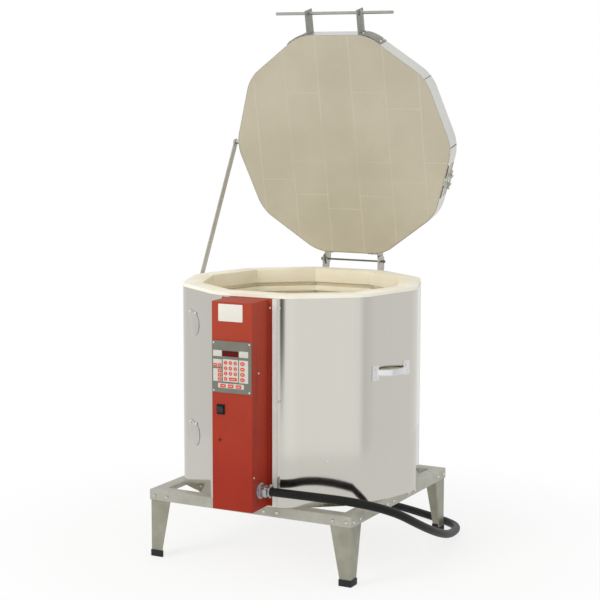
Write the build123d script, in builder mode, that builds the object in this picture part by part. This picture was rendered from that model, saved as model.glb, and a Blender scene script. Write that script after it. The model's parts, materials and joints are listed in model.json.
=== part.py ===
from build123d import *
from math import sin, cos, tan, radians, degrees, atan2, hypot, pi
import os

os.makedirs("parts", exist_ok=True)

# Firebrick body: ten flat sides, corners at 0, 36, 72 ... degrees, millimetres
SIDES = 10
CHAMBER_APOTHEM = 296.8
WALL = 60.2
BRICK_CORNER = 114.0
BASE_Z = 208.0
FLOOR_THICK = 50.0
ROWS = 5
ROW_HEIGHT = 114.3
BRICK_JOINT = 0.4

# Grooves that carry the heating wire, heights above the foot of each row
GROOVE_LOW = 37.0
GROOVE_HIGH = 66.0
GROOVE_HEIGHT = 13.0
GROOVE_DEPTH = 15.0
ELEMENT_ROD = 5.0
LEAD_X = 12.0
LEAD_PAST_JACKET = 14.0
LEAD_CLEARANCE = 1.5
THERMO_ROD = 9.0
THERMO_ABOVE_ROW = 85.0
THERMO_CLEARANCE = 1.0

# Steel jacket round the bricks
JACKET_SHEET = 0.8
JACKET_GAP = 0.2
JACKET_DROP = 9.0
LAP_X = 88.0
SCREW_SHANK = 4.0
SCREW_HEAD = 8.0
SCREW_LENGTH = 10.0
SCREW_CLEARANCE = 0.4

# Peephole bores and their swinging covers on the side that faces 234 degrees
PEEP_SIDE = 234
PEEP_ALONG = -27.0
PEEP_HEIGHTS = (716.0, 380.0)
PEEP_BORE = 25.0
COVER_RADIUS = 37.0
COVER_THICK = 1.5
COVER_GAP = 0.3
PIVOT_SCREW = (-22.0, 33.6)
STOP_SCREW = (16.0, 33.6)
PIVOT_FIT = 0.05

# Folded steel stand, turned a little under the body as it is used
STAND_SIDE = 682.0
STAND_X = -0.3
STAND_Y = -6.2
STAND_TURN = -2.638
STAND_SHEET = 3.0
RAIL_HEIGHT = 32.0
RAIL_FLANGE = 40.0
MITRE_GAP = 0.1
LEG_TOP_WIDTH = 67.0
LEG_FOOT_WIDTH = 36.5
LEG_BOTTOM = 3.0
CAP_HEIGHT = 20.0
CAP_WALL = 2.0
CAP_FIT = 0.1
BRACE_REACH = 77.0
BRACE_WIDTH = 30.0
BRACE_THICK = 4.0
TAB_WIDTH = 60.0
BOLT_SHANK = 6.0
BOLT_HEAD = 12.0
BOLT_NUT = 9.6
BOLT_CLEARANCE = 0.4
BOLT_Z = 190.0
CORNER_BOLTS = (16.0, 60.0)
BRACE_BOLT_SPREAD = 22.0

# Lid slab, its band, hinge and open angle
LID_THICK = 60.0
LID_GAP = 0.3
LID_OPEN = 77.6
BAND_INSET = 1.0
LID_SEAMS = (-301.9, -187.6, -73.3, 41.0, 155.3, 269.6)
SEAM_WIDTH = 1.2
SEAM_DEPTH = 1.5
HINGE_Y = 390.0
HINGE_RISE = 24.0
HINGE_ROD = 6.0
HINGE_FIT = 0.05
EAR_X = 98.0
EAR_THICK = 3.0
EAR_GAP = 1.5
BRACKET_SCREW_X = 70.0
BRACKET_SCREW_DROPS = (128.5, 68.5)

# Lid handle: two bent straps and a round bar with wire rings
STRAP_THICK = 3.0
STRAP_WIDTH = 50.0
LEG_X = 88.0
LEG_REACH = 433.0
BAR_DIAMETER = 10.0
BAR_FIT = 0.1
BAR_HALF = 201.0
BAR_TO_END = 11.6
BAR_RISE = 30.0
RING_WIRE = 3.0

# Prop arm beside the lid, its bolt and the loop it slides through
ARM_WIDTH = 20.0
ARM_THICK = 5.0
ARM_INNER_X = -386.5
ARM_TAIL = 33.0
PROP_BOLT = 8.0
PROP_FIT = 0.05
PROP_Y = -3.0
PROP_RISE = 21.0
KEEPER_Y = 11.5
KEEPER_BELOW_RIM = 101.5
KEEPER_HALF = 19.0
KEEPER_HEIGHT = 12.0
KEEPER_THICK = 2.5

# Side handles on the sides that face 342 and 162 degrees
SIDE_HANDLE_Z = 593.5
SIDE_HANDLE_ALONG = -3.0
SIDE_HANDLE_HALF = 70.0
SIDE_PLATE_WIDTH = 29.0
SIDE_PLATE_HEIGHT = 44.0
SIDE_PLATE_THICK = 2.0
SIDE_GRIP_HEIGHT = 18.0
SIDE_GRIP_THICK = 7.0
SIDE_GRIP_REACH = 36.0

# Control box on the front side
BOX_LEFT = -74.0
BOX_RIGHT = 56.0
BOX_FRONT = -455.0
BOX_BOTTOM = 211.0
BOX_DROP = 4.0
BOX_SHEET = 1.2
BOX_FLANGE = 17.0
BOX_BEND = 3.0
PANEL_WIDTH = 126.0
PANEL_HEIGHT = 150.0
PANEL_THICK = 2.0
PANEL_Z = 629.3
SIDE_SCREWS = ((-415.6, 611), (-446, 312))
LAMP_AT = (-48, 416)
WINDOW_WIDTH = 51.5
WINDOW_HEIGHT = 16.5
WINDOW_X = -13.0
WINDOW_Z = 668.3
WINDOW_FIT = 0.1
KEY_THICK = 0.8
ROCKER_X = -45.0
ROCKER_Z = 505.5
ROCKER_WIDTH = 18.0
ROCKER_RADIUS = 10.5
ROCKER_TILT = 7.0
ROCKER_GAP = 0.5
BEZEL_WIDTH = 25.5
BEZEL_HEIGHT = 29.0
AXLE = 3.0
AXLE_FIT = 0.05
GLAND_Y = -408.0
GLAND_Z = 267.0
GLAND_FLANGE = 50.0
GLAND_REACH = 36.0
CORD_DIAMETER = 25.4

# Places worked out from the values above
BRICK_APOTHEM = CHAMBER_APOTHEM + WALL
JACKET_INNER = BRICK_APOTHEM + JACKET_GAP
JACKET_APOTHEM = JACKET_INNER + JACKET_SHEET
JACKET_CORNER = BRICK_CORNER + JACKET_GAP + JACKET_SHEET
FLOOR_TOP = BASE_Z + FLOOR_THICK
RIM_Z = FLOOR_TOP + ROWS * ROW_HEIGHT
JACKET_TOP = RIM_Z - JACKET_DROP
BOX_TOP = JACKET_TOP - BOX_DROP
LID_BOTTOM = RIM_Z + LID_GAP
LID_TOP = LID_BOTTOM + LID_THICK
HINGE_Z = RIM_Z + HINGE_RISE
KEEPER_Z = RIM_Z - KEEPER_BELOW_RIM
STAND_HALF = STAND_SIDE / 2
INNER_HALF = STAND_HALF - STAND_SHEET
FLANGE_BOTTOM = BASE_Z - STAND_SHEET
ROD_LOW = ELEMENT_ROD / 2 - GROOVE_HEIGHT / 2
THERMO_Z = FLOOR_TOP + 2 * ROW_HEIGHT + THERMO_ABOVE_ROW
THERMO_HOLE = THERMO_ROD + 2 * THERMO_CLEARANCE
LEAD_HOLE = ELEMENT_ROD + 2 * LEAD_CLEARANCE
SCREW_HOLE = SCREW_SHANK + SCREW_CLEARANCE
BOLT_HOLE = BOLT_SHANK + BOLT_CLEARANCE
PIVOT_HOLE = SCREW_SHANK + 2 * PIVOT_FIT
ROD_HOLE = HINGE_ROD + 2 * HINGE_FIT
BAR_HOLE = BAR_DIAMETER + 2 * BAR_FIT
PROP_HOLE = PROP_BOLT + 2 * PROP_FIT
AXLE_HOLE = AXLE + 2 * AXLE_FIT
BAR_Z = RIM_Z + BAR_RISE
BAR_Y = BAR_TO_END - LEG_REACH
STRAP_BOTTOM = LID_BOTTOM + (LID_THICK - STRAP_WIDTH) / 2
PROP_Z = RIM_Z + PROP_RISE
BOX_X = (BOX_LEFT + BOX_RIGHT) / 2
BOX_WIDTH = BOX_RIGHT - BOX_LEFT
BOX_BACK = -JACKET_APOTHEM - 0.1
BOX_DEPTH = BOX_BACK - BOX_FRONT
BOX_MIDDLE_Y = (BOX_BACK + BOX_FRONT) / 2
PANEL_FACE = BOX_FRONT - PANEL_THICK
GROOVES = [FLOOR_TOP + row * ROW_HEIGHT + g for row in range(ROWS) for g in (GROOVE_LOW, GROOVE_HIGH)]

stand_at = Location((STAND_X, STAND_Y, 0), (0, 0, STAND_TURN))
lid_closed = Location((0, -HINGE_Y, -HINGE_Z))
lid_at = Location((0, HINGE_Y, HINGE_Z)) * Location((0, 0, 0), (-LID_OPEN, 0, 0)) * lid_closed


def facet(angle, along, height, out):
    """Plane parallel to one side: x along the side, y upwards, z outwards."""
    nx = cos(radians(angle))
    ny = sin(radians(angle))
    place = (nx * out - ny * along, ny * out + nx * along, height)
    return Plane(origin=place, x_dir=(-ny, nx, 0), z_dir=(nx, ny, 0))


def at(frame, plane):
    """The same plane carried along with a frame."""
    return Plane(frame * plane.location)


def corner(vertex, angle, height, apothem, radius):
    """Plane on a rounded corner of the outline, facing the given angle."""
    centre = (apothem - radius) / cos(radians(180 / SIDES))
    nx = cos(radians(angle))
    ny = sin(radians(angle))
    cx = centre * cos(radians(vertex)) + radius * nx
    cy = centre * sin(radians(vertex)) + radius * ny
    return Plane(origin=(cx, cy, height), x_dir=(-ny, nx, 0), z_dir=(nx, ny, 0))


# Screws in the jacket: side angle, along, height, height of the head's seat above the jacket
SEAM_SEAT = 0.3
FLANGE_SEAT = BOX_SHEET + 0.15
PLATE_SEAT = SIDE_PLATE_THICK + 0.1
jacket_screw_list = [
    (270, 94.0, 793.5, SEAM_SEAT),
    (270, 94.0, 521.0, SEAM_SEAT),
    (306, 4.0, 343.0, 0.0),
    (270, 65.0, 793.0, FLANGE_SEAT),
    (270, 65.0, 237.0, FLANGE_SEAT),
    (270, -82.5, 793.0, FLANGE_SEAT),
    (270, -82.5, 237.0, FLANGE_SEAT),
]
for side_angle in (342, 162):
    for end in (-SIDE_HANDLE_HALF, SIDE_HANDLE_HALF):
        for drop in (-12.6, 12.6):
            spot = SIDE_HANDLE_ALONG + end
            jacket_screw_list.append((side_angle, spot, SIDE_HANDLE_Z + drop, PLATE_SEAT))
for bracket_x in (-BRACKET_SCREW_X, BRACKET_SCREW_X):
    for drop in BRACKET_SCREW_DROPS:
        jacket_screw_list.append((90, bracket_x, HINGE_Z - drop, EAR_THICK + 0.3))

peep_screw_list = []
for peep_z in PEEP_HEIGHTS:
    for offset_x, offset_z in (PIVOT_SCREW, STOP_SCREW):
        seat = COVER_GAP + COVER_THICK + 0.1
        peep_screw_list.append((PEEP_SIDE, PEEP_ALONG + offset_x, peep_z + offset_z, seat))

keeper_screw_list = [(-16.0, KEEPER_Z), (20.0, KEEPER_Z)]

# Floor of soft brick on the stand's flanges
with BuildPart() as floor_slab:
    with BuildSketch(Plane.XY.offset(BASE_Z)):
        RegularPolygon(BRICK_APOTHEM, SIDES, major_radius=False)
        fillet(vertices(), BRICK_CORNER)
    extrude(amount=FLOOR_THICK)
    with BuildSketch(facet(270, 0, 237.0, BRICK_APOTHEM)):
        with Locations((65.0, 0), (-82.5, 0)):
            Circle(SCREW_HOLE / 2)
    extrude(amount=-SCREW_LENGTH - 1, mode=Mode.SUBTRACT)
floor_slab.part.label = "floor_slab"
export_step(floor_slab.part, "parts/floor_slab.step")

# Five rows of mitred bricks, ten to a row
for row in range(ROWS):
    foot = FLOOR_TOP + row * ROW_HEIGHT
    with BuildPart() as brick_row:
        with BuildSketch(Plane.XY.offset(foot)):
            RegularPolygon(BRICK_APOTHEM, SIDES, major_radius=False)
            fillet(vertices(), BRICK_CORNER)
            RegularPolygon(CHAMBER_APOTHEM, SIDES, major_radius=False, mode=Mode.SUBTRACT)
        extrude(amount=ROW_HEIGHT)
        # two grooves in the hot face
        for groove in (foot + GROOVE_LOW, foot + GROOVE_HIGH):
            with BuildSketch(Plane.XY.offset(groove - GROOVE_HEIGHT / 2)):
                RegularPolygon(CHAMBER_APOTHEM + GROOVE_DEPTH, SIDES, major_radius=False)
            extrude(amount=GROOVE_HEIGHT, mode=Mode.SUBTRACT)
        # holes for the element leads
        with BuildSketch(facet(270, 0, 0, BRICK_APOTHEM)):
            for groove in (foot + GROOVE_LOW, foot + GROOVE_HIGH):
                with Locations((-LEAD_X, groove + ROD_LOW), (LEAD_X, groove + ROD_LOW)):
                    Circle(LEAD_HOLE / 2)
            if foot < THERMO_Z < foot + ROW_HEIGHT:
                with Locations((0, THERMO_Z)):
                    Circle(THERMO_HOLE / 2)
        extrude(amount=-WALL, mode=Mode.SUBTRACT)
        # peepholes that cross this row
        for peep_z in PEEP_HEIGHTS:
            if foot - PEEP_BORE / 2 < peep_z < foot + ROW_HEIGHT + PEEP_BORE / 2:
                with BuildSketch(facet(PEEP_SIDE, PEEP_ALONG, peep_z, BRICK_APOTHEM)):
                    Circle(PEEP_BORE / 2)
                extrude(amount=-WALL, mode=Mode.SUBTRACT)
        # pilot holes of the screws
        for angle, along, height, seat in jacket_screw_list + peep_screw_list:
            if foot - 3 < height < foot + ROW_HEIGHT + 3:
                with BuildSketch(facet(angle, along, height, BRICK_APOTHEM + 1)):
                    Circle(SCREW_HOLE / 2)
                extrude(amount=-SCREW_LENGTH - 2, mode=Mode.SUBTRACT)
        for along, height in keeper_screw_list:
            if foot < height < foot + ROW_HEIGHT:
                with BuildSketch(Plane.YZ.offset(-BRICK_APOTHEM - 20)):
                    with Locations((along, height)):
                        Circle(SCREW_HOLE / 2)
                extrude(amount=SCREW_LENGTH + 20, mode=Mode.SUBTRACT)
        # upright mitre joints
        with BuildSketch(Plane.XY.offset(foot)):
            with PolarLocations(0, SIDES // 2, angular_range=180):
                Rectangle(3 * BRICK_APOTHEM, BRICK_JOINT)
        extrude(amount=ROW_HEIGHT, mode=Mode.SUBTRACT)
    brick_row.part.label = f"brick_row_{row + 1}"
    export_step(brick_row.part, f"parts/brick_row_{row + 1}.step")

# Two heating rings in each row, with straight leads through the front wall
RING_APOTHEM = CHAMBER_APOTHEM + GROOVE_DEPTH / 2
LEAD_END = JACKET_APOTHEM + LEAD_PAST_JACKET
ring_radius = RING_APOTHEM / cos(radians(180 / SIDES))
ring_corners = []
for step in range(SIDES):
    angle = radians(270 - 180 / SIDES - 360 / SIDES * step)
    ring_corners.append((ring_radius * cos(angle), ring_radius * sin(angle)))
ring_points = [(-LEAD_X, -LEAD_END), (-LEAD_X, -RING_APOTHEM)]
ring_points += ring_corners
ring_points += [(LEAD_X, -RING_APOTHEM), (LEAD_X, -LEAD_END)]
for row in range(ROWS):
    foot = FLOOR_TOP + row * ROW_HEIGHT
    with BuildPart() as element:
        for groove in (foot + GROOVE_LOW, foot + GROOVE_HIGH):
            with BuildLine(Plane.XY.offset(groove + ROD_LOW + 0.05)) as ring_path:
                FilletPolyline(*ring_points, radius=6.0)
            with BuildSketch(Plane(origin=ring_path.line @ 0, z_dir=ring_path.line % 0)):
                Circle(ELEMENT_ROD / 2)
            sweep()
    element.part.label = f"element_{row + 1}"
    export_step(element.part, f"parts/element_{row + 1}.step")

# Jacket, one sheet with a lapped seam beside the control box
with BuildPart() as jacket:
    with BuildSketch(Plane.XY.offset(BASE_Z)):
        RegularPolygon(JACKET_APOTHEM, SIDES, major_radius=False)
        fillet(vertices(), JACKET_CORNER)
        offset(amount=-JACKET_SHEET, mode=Mode.SUBTRACT)
    extrude(amount=JACKET_TOP - BASE_Z)
    with BuildSketch(Plane.XY.offset(BASE_Z)):
        RegularPolygon(JACKET_APOTHEM + JACKET_SHEET, SIDES, major_radius=False)
        fillet(vertices(), JACKET_CORNER + JACKET_SHEET)
        offset(amount=-JACKET_SHEET - 0.2, mode=Mode.SUBTRACT)
        Polygon(
            (LAP_X, -300), (LAP_X, -420), (260, -420), (150, -280),
            align=None, mode=Mode.INTERSECT,
        )
    extrude(amount=JACKET_TOP - BASE_Z)
    with BuildSketch(facet(270, 0, 0, JACKET_INNER - 3)):
        for groove in GROOVES:
            with Locations((-LEAD_X, groove + ROD_LOW), (LEAD_X, groove + ROD_LOW)):
                Circle(LEAD_HOLE / 2)
        with Locations((0, THERMO_Z)):
            Circle(THERMO_HOLE / 2)
    extrude(amount=10, mode=Mode.SUBTRACT)
    for peep_z in PEEP_HEIGHTS:
        with BuildSketch(facet(PEEP_SIDE, PEEP_ALONG, peep_z, JACKET_INNER - 3)):
            Circle(PEEP_BORE / 2)
        extrude(amount=10, mode=Mode.SUBTRACT)
    for angle, along, height, seat in jacket_screw_list + peep_screw_list:
        with BuildSketch(facet(angle, along, height, JACKET_INNER - 4)):
            Circle(SCREW_HOLE / 2)
        extrude(amount=10, mode=Mode.SUBTRACT)
    with BuildSketch(Plane.YZ.offset(-JACKET_APOTHEM - 20)):
        with Locations(*keeper_screw_list):
            Circle(SCREW_HOLE / 2)
    extrude(amount=40, mode=Mode.SUBTRACT)
jacket.part.label = "jacket"
export_step(jacket.part, "parts/jacket.step")

# Screws through the jacket
with BuildPart() as jacket_screws:
    for angle, along, height, seat in jacket_screw_list:
        with BuildSketch(facet(angle, along, height, JACKET_APOTHEM + seat)):
            Circle(SCREW_HEAD / 2)
        extrude(amount=2.4, taper=24)
        with BuildSketch(facet(angle, along, height, JACKET_APOTHEM + seat)):
            Circle(SCREW_SHANK / 2)
        extrude(amount=-SCREW_LENGTH)
jacket_screws.part.label = "jacket_screws"
export_step(jacket_screws.part, "parts/jacket_screws.step")

# Covers of the two peepholes, each hung on its pivot screw
for peep_z, name in zip(PEEP_HEIGHTS, ("peephole_cover_upper", "peephole_cover_lower")):
    with BuildPart() as peephole_cover:
        with BuildSketch(facet(PEEP_SIDE, PEEP_ALONG, peep_z, JACKET_APOTHEM + COVER_GAP)):
            Circle(COVER_RADIUS)
            with Locations(PIVOT_SCREW):
                Circle(9)
            make_hull()
            with Locations(PIVOT_SCREW):
                Circle(PIVOT_HOLE / 2, mode=Mode.SUBTRACT)
            with Locations((STOP_SCREW[0] + 11, STOP_SCREW[1] + 11)):
                Rectangle(33, 33, mode=Mode.SUBTRACT)
        extrude(amount=COVER_THICK)
    peephole_cover.part.label = name
    export_step(peephole_cover.part, f"parts/{name}.step")

# Pivot and stop screws of both covers
with BuildPart() as peephole_screws:
    for angle, along, height, seat in peep_screw_list:
        with BuildSketch(facet(angle, along, height, JACKET_APOTHEM + seat)):
            Circle(SCREW_HEAD / 2 + 0.5)
        extrude(amount=2.6, taper=24)
        with BuildSketch(facet(angle, along, height, JACKET_APOTHEM + seat)):
            Circle(SCREW_SHANK / 2)
        extrude(amount=-SCREW_LENGTH)
peephole_screws.part.label = "peephole_screws"
export_step(peephole_screws.part, "parts/peephole_screws.step")

# Stand rails: folded angles, mitred where they meet
rail_names = ("front_rail", "right_rail", "rear_rail", "left_rail")
for index, name in enumerate(rail_names):
    side_at = stand_at * Location((0, 0, 0), (0, 0, 90 * index))
    with BuildPart() as rail:
        with BuildSketch(at(side_at, Plane.YZ.offset(-STAND_HALF))):
            with Locations((-STAND_HALF + STAND_SHEET / 2, BASE_Z - RAIL_HEIGHT / 2)):
                Rectangle(STAND_SHEET, RAIL_HEIGHT)
            with Locations((-STAND_HALF + RAIL_FLANGE / 2, BASE_Z - STAND_SHEET / 2)):
                Rectangle(RAIL_FLANGE, STAND_SHEET)
        extrude(amount=STAND_SIDE)
        left_mitre = Plane(origin=(-STAND_HALF + MITRE_GAP, -STAND_HALF, 0), z_dir=(1, -1, 0))
        right_mitre = Plane(origin=(STAND_HALF - MITRE_GAP, -STAND_HALF, 0), z_dir=(-1, -1, 0))
        split(bisect_by=at(side_at, left_mitre), keep=Keep.TOP)
        split(bisect_by=at(side_at, right_mitre), keep=Keep.TOP)
        with BuildSketch(at(side_at, Plane.XZ.offset(STAND_HALF + 1))):
            for sign in (-1, 1):
                for inset in CORNER_BOLTS:
                    with Locations((sign * (STAND_HALF - inset), BOLT_Z)):
                        Circle(BOLT_HOLE / 2)
                for spread in (-BRACE_BOLT_SPREAD, BRACE_BOLT_SPREAD):
                    with Locations((sign * (BRACE_REACH + spread), BOLT_Z)):
                        Circle(BOLT_HOLE / 2)
        extrude(amount=-STAND_SHEET - 2, mode=Mode.SUBTRACT)
    rail.part.label = name
    export_step(rail.part, f"parts/{name}.step")

# Tapered legs, folded from sheet, inside the corners of the rails
leg_names = ("leg_front_right", "leg_rear_right", "leg_rear_left", "leg_front_left")
LEG_EDGE = INNER_HALF
for index, name in enumerate(leg_names):
    side_at = stand_at * Location((0, 0, 0), (0, 0, 90 * index))
    with BuildPart() as leg:
        with BuildSketch(at(side_at, Plane.XZ.offset(LEG_EDGE))):
            Polygon(
                (LEG_EDGE, LEG_BOTTOM), (LEG_EDGE, FLANGE_BOTTOM),
                (LEG_EDGE - LEG_TOP_WIDTH, FLANGE_BOTTOM),
                (LEG_EDGE - LEG_TOP_WIDTH, BASE_Z - RAIL_HEIGHT),
                (LEG_EDGE - LEG_FOOT_WIDTH, CAP_HEIGHT),
                (LEG_EDGE - LEG_FOOT_WIDTH, LEG_BOTTOM),
                align=None,
            )
        extrude(amount=-STAND_SHEET)
        with BuildSketch(at(side_at, Plane.YZ.offset(LEG_EDGE))):
            Polygon(
                (-LEG_EDGE, LEG_BOTTOM), (-LEG_EDGE, FLANGE_BOTTOM),
                (-LEG_EDGE + LEG_TOP_WIDTH, FLANGE_BOTTOM),
                (-LEG_EDGE + LEG_TOP_WIDTH, BASE_Z - RAIL_HEIGHT),
                (-LEG_EDGE + LEG_FOOT_WIDTH, CAP_HEIGHT),
                (-LEG_EDGE + LEG_FOOT_WIDTH, LEG_BOTTOM),
                align=None,
            )
        extrude(amount=-STAND_SHEET)
        with BuildSketch(at(side_at, Plane.XZ.offset(LEG_EDGE + 1))):
            for inset in CORNER_BOLTS:
                with Locations((STAND_HALF - inset, BOLT_Z)):
                    Circle(BOLT_HOLE / 2)
        extrude(amount=-STAND_SHEET - 2, mode=Mode.SUBTRACT)
        with BuildSketch(at(side_at, Plane.YZ.offset(LEG_EDGE + 1))):
            for inset in CORNER_BOLTS:
                with Locations((-STAND_HALF + inset, BOLT_Z)):
                    Circle(BOLT_HOLE / 2)
        extrude(amount=-STAND_SHEET - 2, mode=Mode.SUBTRACT)
    leg.part.label = name
    export_step(leg.part, f"parts/{name}.step")

# Black caps on the feet
CAP_OUT = LEG_EDGE + CAP_FIT + CAP_WALL
CAP_IN = LEG_EDGE - STAND_SHEET - CAP_FIT - CAP_WALL
CAP_END = LEG_EDGE - LEG_FOOT_WIDTH - CAP_FIT - CAP_WALL
with BuildPart() as foot_caps:
    for index in range(4):
        side_at = stand_at * Location((0, 0, 0), (0, 0, 90 * index))
        with BuildSketch(at(side_at, Plane.XY)):
            Polygon(
                (CAP_OUT, -CAP_OUT), (CAP_OUT, -CAP_END), (CAP_IN, -CAP_END),
                (CAP_IN, -CAP_IN), (CAP_END, -CAP_IN), (CAP_END, -CAP_OUT),
                align=None,
            )
        extrude(amount=CAP_HEIGHT)
        with BuildSketch(at(side_at, Plane.XY.offset(LEG_BOTTOM))):
            Polygon(
                (CAP_OUT - CAP_WALL, -CAP_OUT + CAP_WALL), (CAP_OUT - CAP_WALL, -CAP_END - CAP_WALL),
                (CAP_IN + CAP_WALL, -CAP_END - CAP_WALL), (CAP_IN + CAP_WALL, -CAP_IN - CAP_WALL),
                (CAP_END + CAP_WALL, -CAP_IN - CAP_WALL), (CAP_END + CAP_WALL, -CAP_OUT + CAP_WALL),
                align=None,
            )
        extrude(amount=CAP_HEIGHT, mode=Mode.SUBTRACT)
foot_caps.part.label = "foot_caps"
export_step(foot_caps.part, "parts/foot_caps.step")

# Flat braces across the corners, under the flanges
HALF_BRACE = BRACE_WIDTH / 2 * 2 ** 0.5
with BuildPart() as corner_braces:
    for index in range(4):
        side_at = stand_at * Location((0, 0, 0), (0, 0, 90 * index))
        with BuildSketch(at(side_at, Plane.XY.offset(FLANGE_BOTTOM))):
            Polygon(
                (BRACE_REACH - HALF_BRACE, -INNER_HALF), (BRACE_REACH + HALF_BRACE, -INNER_HALF),
                (INNER_HALF, -BRACE_REACH - HALF_BRACE), (INNER_HALF, -BRACE_REACH + HALF_BRACE),
                align=None,
            )
        extrude(amount=-BRACE_THICK)
        with BuildSketch(at(side_at, Plane.XY.offset(FLANGE_BOTTOM))):
            with Locations((BRACE_REACH, -INNER_HALF + BRACE_THICK / 2)):
                Rectangle(TAB_WIDTH, BRACE_THICK)
            with Locations((INNER_HALF - BRACE_THICK / 2, -BRACE_REACH)):
                Rectangle(BRACE_THICK, TAB_WIDTH)
        extrude(amount=-RAIL_HEIGHT + STAND_SHEET + 2)
        with BuildSketch(at(side_at, Plane.XZ.offset(INNER_HALF + 1))):
            with Locations((BRACE_REACH - BRACE_BOLT_SPREAD, BOLT_Z), (BRACE_REACH + BRACE_BOLT_SPREAD, BOLT_Z)):
                Circle(BOLT_HOLE / 2)
        extrude(amount=-BRACE_THICK - 2, mode=Mode.SUBTRACT)
        with BuildSketch(at(side_at, Plane.YZ.offset(INNER_HALF + 1))):
            with Locations((-BRACE_REACH - BRACE_BOLT_SPREAD, BOLT_Z), (-BRACE_REACH + BRACE_BOLT_SPREAD, BOLT_Z)):
                Circle(BOLT_HOLE / 2)
        extrude(amount=-BRACE_THICK - 2, mode=Mode.SUBTRACT)
corner_braces.part.label = "corner_braces"
export_step(corner_braces.part, "parts/corner_braces.step")

# Bolts and nuts of the stand
bolt_places = []
for sign in (-1, 1):
    for inset in CORNER_BOLTS:
        bolt_places.append((sign * (STAND_HALF - inset), 2 * STAND_SHEET))
    for spread in (-BRACE_BOLT_SPREAD, BRACE_BOLT_SPREAD):
        bolt_places.append((sign * (BRACE_REACH + spread), STAND_SHEET + BRACE_THICK))
with BuildPart() as stand_bolts:
    for index in range(4):
        side_at = stand_at * Location((0, 0, 0), (0, 0, 90 * index))
        for along, grip in bolt_places:
            with BuildSketch(at(side_at, Plane.XZ.offset(STAND_HALF))):
                with Locations((along, BOLT_Z)):
                    Circle(BOLT_HEAD / 2)
            extrude(amount=3.5, taper=30)
            with BuildSketch(at(side_at, Plane.XZ.offset(STAND_HALF))):
                with Locations((along, BOLT_Z)):
                    Circle(BOLT_SHANK / 2)
            extrude(amount=-grip - 4.5)
            with BuildSketch(at(side_at, Plane.XZ.offset(STAND_HALF - grip))):
                with Locations((along, BOLT_Z)):
                    Circle(BOLT_NUT / 2)
            extrude(amount=-4.5)
stand_bolts.part.label = "stand_bolts"
export_step(stand_bolts.part, "parts/stand_bolts.step")

# Hinge brackets on the rear of the jacket
for sign, name in ((-1, "hinge_bracket_left"), (1, "hinge_bracket_right")):
    ear_inner = EAR_X - EAR_THICK / 2
    with BuildPart() as hinge_bracket:
        with BuildSketch(Plane.XZ.offset(-JACKET_APOTHEM - 0.2 - EAR_THICK)):
            with Locations((sign * (60 + EAR_X + EAR_THICK / 2) / 2, HINGE_Z - 91.5)):
                Rectangle(EAR_X + EAR_THICK / 2 - 60, 124)
        extrude(amount=EAR_THICK)
        with BuildSketch(Plane.YZ.offset(sign * EAR_X - EAR_THICK / 2)):
            Polygon(
                (JACKET_APOTHEM + 0.2 + EAR_THICK, HINGE_Z - 133.5),
                (JACKET_APOTHEM + 0.2 + EAR_THICK, HINGE_Z + 18.5),
                (HINGE_Y + 22, HINGE_Z + 18.5), (HINGE_Y + 22, HINGE_Z - 21.5), (HINGE_Y - 10, HINGE_Z - 108.5),
                align=None,
            )
            fillet(vertices().sort_by(Axis.Y)[-2:], 15)
            with Locations((HINGE_Y, HINGE_Z)):
                Circle(ROD_HOLE / 2, mode=Mode.SUBTRACT)
        extrude(amount=EAR_THICK)
        with BuildSketch(Plane.XZ.offset(-JACKET_APOTHEM + 3)):
            with Locations(*[(sign * BRACKET_SCREW_X, HINGE_Z - drop) for drop in BRACKET_SCREW_DROPS]):
                Circle(SCREW_HOLE / 2)
        extrude(amount=-12, mode=Mode.SUBTRACT)
    hinge_bracket.part.label = name
    export_step(hinge_bracket.part, f"parts/{name}.step")

# Hinge rod with a head and a nut
with BuildPart() as hinge_rod:
    with BuildSketch(Plane.YZ.offset(-110)):
        with Locations((HINGE_Y, HINGE_Z)):
            Circle(HINGE_ROD / 2)
    extrude(amount=222)
    with BuildSketch(Plane.YZ.offset(-115)):
        with Locations((HINGE_Y, HINGE_Z)):
            Circle(6)
    extrude(amount=5)
    with BuildSketch(Plane.YZ.offset(104)):
        with Locations((HINGE_Y, HINGE_Z)):
            RegularPolygon(5.5, 6)
    extrude(amount=5)
hinge_rod.part.label = "hinge_rod"
export_step(hinge_rod.part, "parts/hinge_rod.step")

# Bolts of the lid: rounded corner, angle faced, height, seat above the band
BAND_APOTHEM = JACKET_APOTHEM
BAND_CORNER = JACKET_CORNER
STRAP_SEAT = STRAP_THICK + 0.35
lid_bolt_planes = []
for mirrored in (False, True):
    for bolt_z in (STRAP_BOTTOM + 12, STRAP_BOTTOM + STRAP_WIDTH - 12):
        vertex = 252 if mirrored else 288
        facing = 260 if mirrored else 280
        lid_bolt_planes.append(corner(vertex, facing, bolt_z, BAND_APOTHEM, BAND_CORNER))
        side = 234 if mirrored else 306
        along = 70 if mirrored else -70
        lid_bolt_planes.append(facet(side, along, bolt_z, BAND_APOTHEM))
ear_bolt_planes = []
for sign in (-1, 1):
    for bolt_z in (LID_BOTTOM + 16, LID_TOP - 14):
        ear_bolt_planes.append(facet(90, sign * 72, bolt_z, BAND_APOTHEM))

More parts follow.
